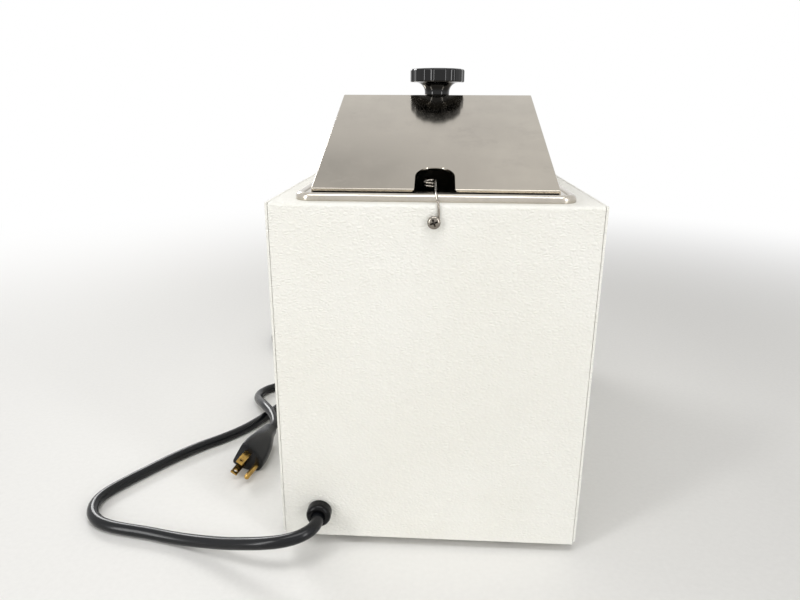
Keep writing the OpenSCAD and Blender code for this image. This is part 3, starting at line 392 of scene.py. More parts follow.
@dataclass(frozen=True)
class Metal:
    """Bare or plated metal: brushed lines, clouded by handling, with a patch of painted shade where one is
    given.
    """

    name: str
    colour: Colour
    roughness: float = 0.3
    lines: float = 1400.0
    line_rough: float = 0.1
    line_depth: float = 0.000004
    cloud: float = 0.12
    cloud_size: float = 14.0
    dark: float = 0.12
    cloud_tone: float = 0.6
    band_tone: float = 0.4
    smear_tone: float = 0.35
    turn: float = 0.0
    # A patch of painted shade: where it is centred, how much it darkens, its reach and its full-strength core
    stain_at: Point = (0.0, 0.0, 0.0)
    stain: float = 0.0
    stain_r: float = 0.12
    stain_core: float = 0.2

    def tone(self, coat: Coating) -> object:
        """Gives the metal's plain tone.

        Args:
            coat: the material's graph.

        Returns:
            The colour, or a socket that dims it with painted shade around the given point.
        """
        plain = linear(self.colour)
        if not self.stain:
            return plain
        # Painted shade: the colour darkens towards the given point
        away = coat.add("VectorMath", {0: coat.coords(), 1: self.stain_at}, operation="DISTANCE")
        reach = coat.ramp(away.outputs["Value"], self.stain_core * self.stain_r, self.stain_r, falling=True)
        return coat.mix(reach, plain, linear(self.colour, 1 - self.stain))

    def build(self) -> bpy.types.Material:
        """Builds the metal.

        Returns:
            The material.
        """
        coat = Coating(self.name)
        sheet = coat.use(brushed_lines, Lines=self.lines, Turn=self.turn)
        marks = coat.use(handling_marks, Size=self.cloud_size)
        shade = coat.total((marks["Cloud"], self.cloud_tone), (sheet["Band"], self.band_tone),
                           (marks["Smear"], self.smear_tone), clamp=True)
        # The lines lie evenly around the plain roughness
        smoothest = self.roughness - self.line_rough / 2
        rough = coat.total((sheet["Line"], self.line_rough), (marks["Smear"], self.cloud),
                           base=smoothest, clamp=True)
        tone = coat.mix(shade, self.tone(coat), linear(self.colour, 1 - self.dark))
        coat.set(Base_Color=tone, Metallic=1.0, Roughness=rough)
        coat.relief(sheet["Line"], self.line_depth)
        return coat.material


@dataclass(frozen=True)
class Moulding:
    """Moulded plastic or rubber with a fine grain and paler specks."""

    name: str
    colour: Colour
    roughness: float = 0.4
    grain: float = 1800.0
    depth: float = 0.00003
    speck: float = 0.25
    specular: float = 0.4
    smear: float = 0.12
    speck_lift: float = 14.0
    speck_tone: float = 0.5
    cloud_tone: float = 0.4
    cloud_size: float = 30.0

    def build(self) -> bpy.types.Material:
        """Builds the moulding.

        Returns:
            The material.
        """
        coat = Coating(self.name)
        grain = coat.use(fine_grain, Grain=self.grain)
        marks = coat.use(handling_marks, Size=self.cloud_size)
        lift = self.speck_lift * self.speck
        pale = tuple(min(255, int(part * (1 + self.speck) + lift)) for part in self.colour)
        shade = coat.total((grain["Speck"], self.speck_tone), (marks["Cloud"], self.cloud_tone), clamp=True)
        rough = coat.total((marks["Smear"], self.smear), base=self.roughness)
        coat.set(Base_Color=coat.mix(shade, linear(self.colour), linear(pale)), Roughness=rough,
                 Specular_IOR_Level=self.specular)
        coat.relief(grain["Height"], self.depth)
        return coat.material


@dataclass(frozen=True)
class Fibre:
    """Pressed mineral wool or layered mica board: long strands that cross each other."""

    name: str
    colour: Colour
    strands: float = 900.0
    depth: float = 0.0004
    stretch: float = 0.08
    shaded: float = 0.72
    roughness: float = 0.9

    def build(self) -> bpy.types.Material:
        """Builds the board.

        Returns:
            The material.
        """
        coat = Coating(self.name)
        fine, long = self.strands, self.strands * self.stretch
        across, along = (coat.noise(coat.stretched(scale), scale=1.0, detail=4.0, rough=0.7)
                         for scale in ((fine, long, fine), (long, fine, fine)))
        strands = coat.math("MAXIMUM", across, along)
        lit = coat.ramp(strands, low=0.4, high=0.7)
        tone = coat.mix(lit, linear(self.colour, self.shaded), linear(self.colour))
        coat.set(Base_Color=tone, Roughness=self.roughness)
        coat.relief(strands, self.depth)
        return coat.material


@dataclass(frozen=True)
class LampGlass:
    """Clouded amber lens of the pilot lamp."""

    name: str
    colour: Colour
    deep: float = 0.8
    clear: float = 0.35
    ior: float = 1.49
    polish: float = 0.6
    polish_rough: float = 0.05
    roughness: float = 0.16
    speck_rough: float = 0.1
    grain: float = 900.0
    depth: float = 0.00001

    def build(self) -> bpy.types.Material:
        """Builds the glass.

        Returns:
            The material.
        """
        coat = Coating(self.name)
        grain = coat.use(fine_grain, Grain=self.grain)
        tone = coat.mix(grain["Speck"], linear(self.colour), linear(self.colour, self.deep))
        rough = coat.total((grain["Speck"], self.speck_rough), base=self.roughness)
        coat.set(Base_Color=tone, Roughness=rough, Transmission_Weight=self.clear, IOR=self.ior,
                 Coat_Weight=self.polish, Coat_Roughness=self.polish_rough)
        coat.relief(grain["Height"], self.depth)
        return coat.material


Finish = GrainedPaint | Metal | Moulding | Fibre | LampGlass

FINISHES: dict[Slot, Finish] = {
    Slot.CABINET_PAINT: GrainedPaint("cream_grained_paint", (247, 246, 240)),
    Slot.ZINC: Metal("zinc_plate", (200, 202, 203), roughness=0.38, cloud=0.2, cloud_size=40.0),
    Slot.STAINLESS_TANK: Metal("tank_stainless", (202, 195, 183), roughness=0.2, lines=900.0, line_rough=0.08,
                               line_depth=0.000002, cloud=0.1),
    # The lid's patch of painted shade is a painted darker reflection, low on the slope towards the corner at
    # larger X
    Slot.STAINLESS_LID: Metal("lid_stainless", (190, 183, 170), roughness=0.125, lines=1300.0,
                              line_rough=0.06, line_depth=0.0000012, cloud=0.08, cloud_size=11.0,
                              dark=0.11, turn=90.0,
                              stain_at=(0.075, 0.18, 0.265), stain=0.22, stain_r=0.13),
    # The spring wire's patch of painted shade sits at the bottom of the screw's cross recess
    Slot.SPRING_WIRE: Metal("spring_wire", (152, 145, 136), roughness=0.18, cloud_size=60.0, dark=0.2,
                            stain_at=(0.0, 0.2149, 0.2445), stain=0.93, stain_r=0.0025),
    Slot.SHAFT_STEEL: Metal("shaft_steel", (205, 205, 205), roughness=0.22, cloud_size=60.0),
    Slot.HEATER_MICA: Fibre("heater_mica", (168, 150, 118), strands=400.0, depth=0.0001),
    Slot.INSULATION: Fibre("mineral_wool", (222, 204, 142)),
    Slot.COPPER: Metal("copper_tube", (205, 128, 90), roughness=0.3, cloud_size=60.0, dark=0.3),
    Slot.BRASS: Metal("brass_prongs", (208, 168, 92), roughness=0.24, cloud_size=90.0, dark=0.3, cloud=0.2),
    Slot.FOOT_RUBBER: Moulding("foot_rubber", (26, 26, 26), roughness=0.65, grain=1200.0, depth=0.00006),
    Slot.PHENOLIC: Moulding("phenolic_gloss", (3, 3, 4), roughness=0.05, grain=500.0, depth=0.000002,
                            speck=0.1, specular=0.36, smear=0.02),
    Slot.BLACK_MOULDING: Moulding("black_moulding", (7, 7, 8), roughness=0.16, grain=1500.0, depth=0.000006,
                                  speck=0.1, specular=0.18, smear=0.04),
    Slot.CORD_RUBBER: Moulding("cord_rubber", (15, 16, 19), roughness=0.22, grain=900.0, depth=0.000005,
                               speck=0.1, specular=0.3, smear=0.03),
    Slot.LAMP_METAL: Metal("lamp_metal", (210, 210, 210), roughness=0.14, cloud_size=80.0),
    Slot.LAMP_AMBER: LampGlass("amber_lens", (244, 140, 30)),
    Slot.PLATE_METAL: Metal("plate_metal", (196, 198, 200), roughness=0.36, lines=2200.0, line_rough=0.22,
                            line_depth=0.00001),
    Slot.BLOCK_PLASTIC: Moulding("block_plastic", (226, 222, 204), roughness=0.5, grain=1500.0,
                                 depth=0.00003, speck=0.05),
    Slot.WIRE_RED: Moulding("wire_insulation", (178, 44, 34), roughness=0.42, grain=1500.0, depth=0.00002,
                            speck=0.1),
}

PRINT_DARK = Moulding("print_dark", (34, 36, 40), roughness=0.5, grain=2500.0, depth=0.000004)
PRINT_WHITE = Moulding("print_white", (232, 232, 228), roughness=0.5, grain=2500.0, depth=0.000004, speck=0.02)

NODE_SLOTS: dict[Slot, tuple[str, ...]] = {
    Slot.CABINET_PAINT: ("cabinet_wrap", "side_panel_right", "side_panel_left"),
    Slot.ZINC: ("base_plate", "base_screws", "foot_screws", "foot_nuts", "pressing_plate", "stud_nuts",
                "heat_shield", "bulb_clip", "thermostat_nut", "plate_screws", "holder_nut", "knob_screw",
                "knob_washer"),
    Slot.STAINLESS_TANK: ("tank", "tank_studs", "diffuser_shelf"),
    Slot.STAINLESS_LID: ("lid_shell",),
    Slot.SPRING_WIRE: ("thermometer_holder", "holder_screw"),
    Slot.SHAFT_STEEL: ("thermostat_shaft",),
    Slot.HEATER_MICA: ("heating_element",),
    Slot.INSULATION: ("insulation_bottom", "insulation_sides", "insulation_ends"),
    Slot.COPPER: ("thermostat_bulb", "capillary"),
    Slot.BRASS: ("plug_blades", "ground_pin", "terminal_screws", "earth_stud"),
    Slot.FOOT_RUBBER: ("feet",),
    Slot.PHENOLIC: ("lid_knob",),
    Slot.BLACK_MOULDING: ("limit_thermostat", "thermostat_body", "thermostat_knob", "switch_housing",
                          "power_rocker", "strain_relief"),
    Slot.CORD_RUBBER: ("power_cord", "cord_coil", "plug_lead", "plug_body", "inner_lead"),
    Slot.LAMP_METAL: ("lamp_body",),
    Slot.LAMP_AMBER: ("lamp_lens",),
    Slot.PLATE_METAL: ("control_plate",),
    Slot.BLOCK_PLASTIC: ("terminal_block",),
    Slot.WIRE_RED: ("wiring",),
}


@cache
def coated(finish: Finish) -> bpy.types.Material:
    """Returns the finish's material, made on first use."""
    return finish.build()


def paint_nodes() -> None:
    """Gives every CAD node the finish of its slot."""
    for slot, names in NODE_SLOTS.items():
        for name in names:
            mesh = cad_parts[name].data
            mesh.materials.clear()
            mesh.materials.append(coated(FINISHES[slot]))
        LOG.info("%s: %s", slot.value, ", ".join(names))


# Lines, rings and surfaces


def around(sides: int) -> list[float]:
    """Returns that many angles, evenly around a circle."""
    return [2 * pi * i / sides for i in range(sides)]


def bend(centre: tuple[float, float], radius: float, start: float, end: float, steps: int = 8) -> Profile:
    """Draws an arc.

    Args:
        centre: its centre.
        radius: its radius.
        start: angle of its first point, in degrees.
        end: angle of its last point.
        steps: stretches between them.

    Returns:
        The arc's points.
    """
    angles = [radians(start + (end - start) * i / steps) for i in range(steps + 1)]
    return [(centre[0] + radius * cos(a), centre[1] + radius * sin(a)) for a in angles]


def flow(points: list[Point], steps: int) -> list[Vector]:
    """Smooths a route with a curve through all its points.

    Args:
        points: the route's points.
        steps: points made for each stretch between two of them.

    Returns:
        The closer points.
    """
    p = [Vector(q) for q in points]
    p = [2 * p[0] - p[1]] + p + [2 * p[-1] - p[-2]]
    out = []
    for a, b, c, d in zip(p, p[1:], p[2:], p[3:]):
        for i in range(steps):
            t = i / steps
            out.append(0.5 * (2 * b + (c - a) * t + (2 * a - 5 * b + 4 * c - d) * t * t
                              + (3 * b - a - 3 * c + d) * t ** 3))
    return out + [p[-2]]


def round_ring(half_w: float, half_l: float, corner: float, mid_y: float, z: float) -> Ring:
    """Draws a level ring with rounded corners.

    Args:
        half_w: half its size along X.
        half_l: half its size along Y.
        corner: radius of its corners.
        mid_y: Y of its middle.
        z: its height.

    Returns:
        The ring.
    """
    steps = 10
    ring = []
    for quarter, (sx, sy) in enumerate(((1, 1), (-1, 1), (-1, -1), (1, -1))):
        centre = (sx * (half_w - corner), mid_y + sy * (half_l - corner))
        ring += [Vector((x, y, z)) for x, y in bend(centre, corner, quarter * 90, quarter * 90 + 90, steps)]
    return ring


def loft(rings: list[Ring], closed: bool = True) -> Surface:
    """Joins closed rings of equal length to one surface.

    Args:
        rings: the rings in order.
        closed: closes the first and the last ring.

    Returns:
        The surface's points and faces.
    """
    n = len(rings[0])
    points = [v for ring in rings for v in ring]
    faces = [(r * n + i, r * n + (i + 1) % n, (r + 1) * n + (i + 1) % n, (r + 1) * n + i)
             for r in range(len(rings) - 1) for i in range(n)]
    if closed:
        faces += [tuple(reversed(range(n))), tuple(range((len(rings) - 1) * n, len(rings) * n))]
    return points, faces


def sweep(path: list[Vector], radii: list[float], sides: int) -> Surface:
    """Runs a round section along a path without twisting it.

    Args:
        path: points of the centreline.
        radii: the radius at each point.
        sides: points around the section.

    Returns:
        The closed tube.
    """
    ahead = path[1:] + path[-1:]
    behind = path[:1] + path[:-1]
    tangents = [(b - a).normalized() for a, b in zip(behind, ahead)]
    side = tangents[0].orthogonal().normalized()
    rings = []
    for point, tangent, radius in zip(path, tangents, radii):
        side = (side - tangent * side.dot(tangent)).normalized()
        other = tangent.cross(side)
        rings.append([point + radius * (cos(a) * side + sin(a) * other) for a in around(sides)])
    return loft(rings)


def lathe(profile: Profile, place: Matrix, sides: int) -> Surface:
    """Turns a profile around an axis.

    Args:
        profile: radius and height along the axis, in order from one end to the other.
        place: puts the axis, local Z, where the piece stands.
        sides: points around the piece.

    Returns:
        The turned surface, closed at both ends.
    """
    thin = 1e-4
    return loft([[place @ Vector((max(r, thin) * cos(a), max(r, thin) * sin(a), h)) for a in around(sides)]
                 for r, h in profile])


def merged(*parts: Surface) -> Surface:
    """Puts several surfaces together.

    Args:
        parts: the surfaces.

    Returns:
        One surface with the points and faces of all.
    """
    points, faces = [], []
    for part_points, part_faces in parts:
        faces += [tuple(i + len(points) for i in face) for face in part_faces]
        points += part_points
    return points, faces


# Objects


def linked(name: str, data: bpy.types.ID) -> bpy.types.Object:
    """Puts data into the scene.

    Args:
        name: name of the new object.
        data: its mesh, curve, lamp or camera.

    Returns:
        The object.
    """
    obj = bpy.data.objects.new(name, data)
    bpy.context.scene.collection.objects.link(obj)
    return obj


def new_object(name: str, surface: Surface) -> bpy.types.Object:
    """Makes an object of a surface.

    Args:
        name: the object's name.
        surface: its points in millimetres and its faces.

    Returns:
        The object, with double points joined and all faces looking out.
    """
    mesh = bpy.data.meshes.new(name)
    mesh.from_pydata([tuple(v * MM) for v in surface[0]], [], surface[1])
    obj = linked(name, mesh)
    skin = bmesh.new()
    skin.from_mesh(mesh)
    bmesh.ops.remove_doubles(skin, verts=skin.verts, dist=2e-7)
    bmesh.ops.recalc_face_normals(skin, faces=skin.faces)
    skin.to_mesh(mesh)
    skin.free()
    return obj


def node_copy(node: str, name: str) -> bpy.types.Object:
    """Copies a CAD node's mesh.

    Args:
        node: the node.
        name: name of the new object.

    Returns:
        The object, with double points joined and flat faces whole.
    """
    obj = linked(name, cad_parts[node].data.copy())
    skin = bmesh.new()
    skin.from_mesh(obj.data)
    bmesh.ops.remove_doubles(skin, verts=skin.verts, dist=1e-6)
    bmesh.ops.dissolve_limit(skin, angle_limit=radians(0.5), verts=skin.verts, edges=skin.edges)
    skin.to_mesh(obj.data)
    skin.free()
    return obj


def baked(obj: bpy.types.Object) -> bpy.types.Mesh:
    """Returns the object's shape as a mesh, with its modifiers applied."""
    bpy.context.view_layer.update()
    return bpy.data.meshes.new_from_object(obj.evaluated_get(bpy.context.evaluated_depsgraph_get()))


def apply_modifiers(obj: bpy.types.Object) -> None:
    """Turns the object's modifiers into its mesh."""
    obj.data = baked(obj)
    obj.modifiers.clear()


def settle(obj: bpy.types.Object, sharp: float = 38.0, weighted: bool = False) -> bpy.types.Object:
    """Turns the object's modifiers into its mesh and shades it smooth up to a sharp angle.

    Args:
        obj: the object.
        sharp: edges over this angle in degrees stay sharp.
        weighted: keeps large flat faces flat beside narrow rounds.

    Returns:
        The same object.
    """
    apply_modifiers(obj)
    obj.data.shade_smooth()
    obj.data.set_sharp_from_angle(angle=radians(sharp))
    if weighted:
        obj.modifiers.new("flat_faces", "WEIGHTED_NORMAL").keep_sharp = True
        apply_modifiers(obj)
    return obj


def cut_away(obj: bpy.types.Object, *cutters: Surface) -> None:
    """Cuts closed surfaces out of an object.

    Args:
        obj: the object.
        cutters: the surfaces.
    """
    for surface in cutters:
        cutter = new_object("cutter", surface)
        cut = obj.modifiers.new("cut", "BOOLEAN")
        cut.operation, cut.solver, cut.object = "DIFFERENCE", "EXACT", cutter
        apply_modifiers(obj)
        bpy.data.objects.remove(cutter)


def soften(obj: bpy.types.Object, width: float, segments: int) -> None:
    """Adds a bevel to the edges that bend clearly.

    Args:
        obj: the object.
        width: the bevel's width in millimetres.
        segments: faces across it.
    """
    clear_bend = 28.0
    bevel = obj.modifiers.new("soft_edges", "BEVEL")
    bevel.width, bevel.segments = width * MM, segments
    bevel.limit_method, bevel.angle_limit = "ANGLE", radians(clear_bend)


def dress(obj: bpy.types.Object, body: Body, finish: Slot | Moulding, *nodes: str) -> bpy.types.Object:
    """Finishes a piece and hands it to its body.

    Args:
        obj: the piece.
        body: the body that it rides on.
        finish: its material slot, or a print finish.
        nodes: the CAD nodes that it stands for.

    Returns:
        The same object.
    """
    obj.data.materials.clear()
    obj.data.materials.append(coated(FINISHES[finish] if isinstance(finish, Slot) else finish))
    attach(obj, body.value)
    if nodes:
        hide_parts(*nodes)
    LOG.info("%s rides on %s, stands for %s", obj.name, body.value, ", ".join(nodes) or "nothing")
    return obj


def softened_node(node: str, body: Body, slot: Slot, width: float, segments: int = 2) -> bpy.types.Object:
    """Dresses a CAD node's own shape with softened edges.

    Args:
        node: the node that it stands for.
        body: the body that it rides on.
        slot: its material slot.
        width: the softening's width in millimetres.
        segments: faces across it.

    Returns:
        The piece.
    """
    obj = node_copy(node, node + "_soft")
    soften(obj, width, segments)
    return dress(settle(obj, sharp=50.0, weighted=True), body, slot, node)


# Studio


@dataclass(frozen=True)
class Lamp:
    """A soft rectangular lamp: its place and size in metres, its power in watts."""

    name: str
    place: Point
    size: tuple[float, float]
    power: float


@dataclass
class Studio:
    """Camera at the photograph's place, pale floor, white surroundings and soft lamps."""

    eye: Point = (-0.6, 608.0, 316.1)
    yaw: float = 3.17
    pitch: float = 17.35
    roll: float = 0.25
    lens: float = 28.35
    sensor: float = 36.0
    near: float = 0.01
    floor_rings: tuple[float, ...] = (0.2, 0.6, 1.4, 3.0, 6.0)
    floor_dark: Colour = (228, 227, 224)
    floor_pale: Colour = (236, 235, 232)
    floor_speck: float = 260.0
    fade: tuple[float, float] = (0.45, 1.5)
    ambient: float = 0.27
    ambient_tone: tuple[float, float, float, float] = (1.0, 0.992, 0.98, 1.0)
    white: tuple[float, float, float, float] = (1.0, 1.0, 1.0, 1.0)
    aim: Point = (0.0, 0.0, 0.15)
    lamps: tuple[Lamp, ...] = (
        Lamp("lamp_left", (1.15, 1.15, 0.66), (0.25, 1.15), 9.0),
        Lamp("lamp_right", (-1.15, 1.15, 0.66), (0.25, 1.15), 7.0),
        Lamp("lamp_over", (0.0, 0.6, 1.6), (1.4, 0.5), 10.5),
        Lamp("lamp_front", (1.3, -1.5, 1.15), (0.8, 0.5), 17.0))

    def set_camera(self) -> None:
        """Puts the camera where the photograph was taken from."""
        data = bpy.data.cameras.new("photo_camera")
        data.lens, data.sensor_width, data.clip_start = self.lens, self.sensor, self.near
        yaw, pitch = radians(self.yaw), radians(self.pitch)
        ahead = Vector((sin(yaw) * cos(pitch), -cos(yaw) * cos(pitch), -sin(pitch)))
        right = ahead.cross(Vector((0, 0, 1))).normalized()
        up = right.cross(ahead)
        turn = Matrix((right, up, -ahead)).transposed() @ Matrix.Rotation(radians(self.roll), 3, "Z")
        camera = linked("photo_camera", data)
        camera.matrix_world = Matrix.Translation(Vector(self.eye) * MM) @ turn.to_4x4()
        bpy.context.scene.camera = camera

    def seen_directly(self, graph: Graph) -> bpy.types.NodeSocket:
        """Tells the rays that show the surroundings themselves, to the eye, in metal or through glass.

        Args:
            graph: the node graph that asks.

        Returns:
            1 for such rays, 0 for others.
        """
        path = graph.add("LightPath").outputs
        mirrored = graph.math("MAXIMUM", path["Is Glossy Ray"], path["Is Transmission Ray"])
        return graph.math("MAXIMUM", path["Is Camera Ray"], mirrored)

    def set_world(self) -> None:
        """Makes the surroundings white to look at and an even soft light."""
        world = bpy.data.worlds.new("white_room")
        world.use_nodes = True
        bpy.context.scene.world = world
        graph = Graph(world.node_tree)
        light = world.node_tree.nodes["Background"]
        graph.feed(light.inputs["Color"], self.ambient_tone)
        graph.feed(light.inputs["Strength"], self.ambient)
        white = graph.add("Background", {"Color": self.white, "Strength": 1.0})
        mix = graph.add("MixShader", {0: self.seen_directly(graph), 1: light.outputs[0], 2: white.outputs[0]})
        graph.feed(world.node_tree.nodes["World Output"].inputs["Surface"], mix.outputs[0])

    def lay_floor(self) -> None:
        """Lays a pale floor that fades into the white surroundings."""
        rings = [[Vector((r * cos(a), r * sin(a), 0)) / MM for a in around(64)] for r in self.floor_rings]
        points, faces = loft(rings)
        floor = new_object("studio_floor", (points, faces[:-1]))
        coat = Coating("pale_floor")
        speck = coat.noise(coat.coords(), self.floor_speck, detail=4.0)
        coat.set(Base_Color=coat.mix(speck, linear(self.floor_dark), linear(self.floor_pale)), Roughness=0.7)
        place = coat.add("NewGeometry").outputs["Position"]
        away = coat.add("VectorMath", {0: place}, operation="LENGTH").outputs["Value"]
        fade = coat.math("MULTIPLY", coat.ramp(away, *self.fade), self.seen_directly(coat))
        white = coat.add("Emission", {"Color": self.white, "Strength": 1.0})
        mix = coat.add("MixShader", {0: fade, 1: coat.shader.outputs[0], 2: white.outputs[0]})
        coat.feed(coat.tree.nodes["Material Output"].inputs["Surface"], mix.outputs[0])
        floor.data.materials.append(coat.material)

    def hang_lamps(self) -> None:
        """Hangs a tall lamp at each side of the camera, one overhead and one before the front panel."""
        for lamp in self.lamps:
            data = bpy.data.lights.new(lamp.name, "AREA")
            data.shape = "RECTANGLE"
            data.size, data.size_y = lamp.size
            data.energy = lamp.power
            light = linked(lamp.name, data)
            light.location = lamp.place
            light.rotation_euler = (Vector(lamp.place) - Vector(self.aim)).to_track_quat("Z", "Y").to_euler()

    def build(self) -> None:
        """Sets everything up."""
        self.set_camera()
        self.set_world()
        self.lay_floor()
        self.hang_lamps()
        bpy.context.scene.view_settings.view_transform = "Standard"
        LOG.info("studio is set")


# Sub-assemblies


def eased(value: float, start: float, end: float) -> float:
    """Eases from 0 to 1 between two values.

    Args:
        value: where along the way.
        start: the result is 0 up to here.
        end: it is 1 from here on.

    Returns:
        The eased share.
    """
    t = min(max((value - start) / (end - start), 0.0), 1.0)
    return t * t * (3 - 2 * t)


@dataclass
class MainsCord:
    """Cord from the bushing round the cabinet to a moulded plug with two blades and a ground pin."""

    diameter: float = 9.0
    length: float = 1800.0
    exit: Point = (80, 222, 28)
    route: tuple[Point, ...] = (
        (80, 222, 28), (80, 228, 28), (83, 236, 27.7), (91, 242.5, 26.7), (102, 245, 24.7), (115, 244, 21.8),
        (129, 240.5, 18), (144, 235.5, 13.5), (159, 230, 9.5), (175, 225, 6.5), (192, 220.5, 4.8),
        (210, 216.5, 4.5), (228, 213.5, 4.5), (243, 210.5, 4.5), (256, 205, 4.5), (266, 195, 4.5),
        (270.5, 181, 4.5), (268, 167, 4.5), (259, 150, 4.5), (247, 131, 4.5), (234, 111, 4.5),
        (218, 91, 4.5), (201, 74, 4.5), (187, 57, 4.5), (176, 38, 4.5), (167, 18, 4.5), (158, -4, 4.5),
        (147, -28, 4.5), (136, -54, 4.5), (127, -82, 4.5), (120, -112, 4.5), (116.5, -145, 4.5),
        (115.5, -180, 4.5))
    lead: tuple[Point, ...] = (
        (215.8, -198, 13.2), (211.5, -178, 9.5), (202, -159, 5.5), (188, -140, 4.5), (174, -122, 4.5),
        (161, -104, 4.5), (153.5, -89, 4.5), (151.5, -75, 4.5), (156, -62, 4.5), (165.5, -52.5, 4.5),
        (176.5, -45, 4.5), (185.5, -36, 4.6), (190, -24, 5.4), (189, -11.5, 6.8), (184.5, 0, 8.9),
        (178.5, 11, 11.7), (172.5, 21, 13.6), (166, 30.5, 14), (160, 40.5, 13.8), (155.5, 51, 13.2),
        (153.64, 60.54, 12.78), (155.2, 69.4, 12.78))
    coil_centre: tuple[float, float] = (166, -215)
    coil_in: float = 41.5
    coil_out: float = 50.5
    coil_end: int = 900
    coil_step: int = 12
    coil_narrows: tuple[int, int] = (320, 360)
    coil_climbs: tuple[int, int] = (640, 680)
    coil_widens: tuple[int, int] = (720, 760)
    plug_yaw: float = -10.0
    plug_roll: float = 60.26
    plug_w: float = 26.0
    plug_l: float = 26.0
    plug_back: float = 10.0
    plug_foot: float = 16.0
    plug_slant: float = 29.74
    plug_slant_r: float = 12.28
    plug_corners: float = 9.0
    plug_face: tuple[tuple[float, float], ...] = ((0.0, 0.93), (0.25, 0.965), (0.9, 0.99), (2.0, 1.0))
    round_from: float = 6.0
    round_to: float = 46.0
    narrow_from: float = 24.0
    narrow_past: float = 6.0
    tail_l: float = 26.0
    tail_r: float = 10.3
    tail_wall: float = 2.0
    tail_edge: tuple[float, float] = (0.8, 0.86)

    def coil(self) -> list[Point]:
        """Winds two and a half turns, one and a half on the table and one on top.

        Returns:
            The turns' points.
        """
        points = []
        for angle in range(0, self.coil_end + 1, self.coil_step):
            inward = eased(angle, *self.coil_narrows) - eased(angle, *self.coil_widens)
            r = self.coil_out + (self.coil_in - self.coil_out) * inward
            z = self.diameter / 2 + self.diameter * eased(angle, *self.coil_climbs)
            a = radians(angle)
            points.append((self.coil_centre[0] - r * cos(a), self.coil_centre[1] - r * sin(a), z))
        return points

    def centreline(self) -> list[Vector]:
        """Returns the whole route from the bushing to the plug."""
        line = flow([*self.route, *self.coil(), *self.lead], steps=3)
        return [Vector((v.x, v.y, max(v.z, self.diameter / 2))) for v in line]

    def plug_place(self) -> Matrix:
        """Finds the plug's place at the cord's end.

        Returns:
            The place: local Y runs along the blades, local -Z to the ground pin.
        """
        yaw = radians(self.plug_yaw)
        root = Vector(self.lead[-1]) + (self.plug_l + self.tail_l) * Vector((-sin(yaw), cos(yaw), 0))
        turn = Matrix.Rotation(yaw, 4, "Z") @ Matrix.Rotation(radians(self.plug_roll), 4, "Y")
        return Matrix.Translation(root) @ turn

    def plug_section(self, angle: float) -> float:
        """Gives the head's section: six walls with rounded corners between them.

        Args:
            angle: direction from the plug's axis, in radians.

        Returns:
            The section's radius there.
        """
        half = self.plug_w / 2
        walls = ((90.0, self.plug_back), (0.0, half), (180.0, half), (270.0, self.plug_foot),
                 (-self.plug_slant, self.plug_slant_r), (180 + self.plug_slant, self.plug_slant_r))
        total = sum((max(cos(angle - radians(direction)), 0.0) / reach) ** self.plug_corners
                    for direction, reach in walls)
        return total ** (-1 / self.plug_corners)

    def plug_shape(self) -> Surface:
        """Shapes the moulded body: a three-sided head that tapers into a round tail on the cord.

        Returns:
            The closed surface.
        """
        place = self.plug_place()
        whole = self.plug_l + self.tail_l
        end_r = self.diameter / 2 + self.tail_wall
        edge, pinch = self.tail_edge
        between = [(float(along), 1.0) for along in range(4, int(whole) - 1, 2)]
        rings = []
        for along, scale in [*self.plug_face, *between, (whole - edge, 1.0), (whole, pinch)]:
            blend = eased(along, self.round_from, self.round_to)
            narrow = eased(along, self.narrow_from, whole + self.narrow_past)
            tail = self.tail_r + (end_r - self.tail_r) * narrow
            drop = 1 - eased(along, self.plug_l, whole)
            radii = [(a, (self.plug_section(a) * (1 - blend) + tail * blend) * scale) for a in around(72)]
            rings.append([place @ Vector((r * cos(a), -along, r * sin(a) - drop)) for a, r in radii])
        return loft(rings)

    def build(self) -> None:
        """Builds the cord, its plug and its prongs."""
        body = Body.CABINET
        line = self.centreline()
        cord = new_object("mains_cord", sweep(line, [self.diameter / 2] * len(line), sides=20))
        dress(settle(cord, sharp=60.0), body, Slot.CORD_RUBBER, "power_cord", "cord_coil", "plug_lead")
        plug = new_object("mains_plug", self.plug_shape())
        dress(settle(plug, sharp=42.0), body, Slot.CORD_RUBBER, "plug_body")
        blades = softened_node("plug_blades", body, Slot.BRASS, width=0.25)
        pin = softened_node("ground_pin", body, Slot.BRASS, width=0.1)


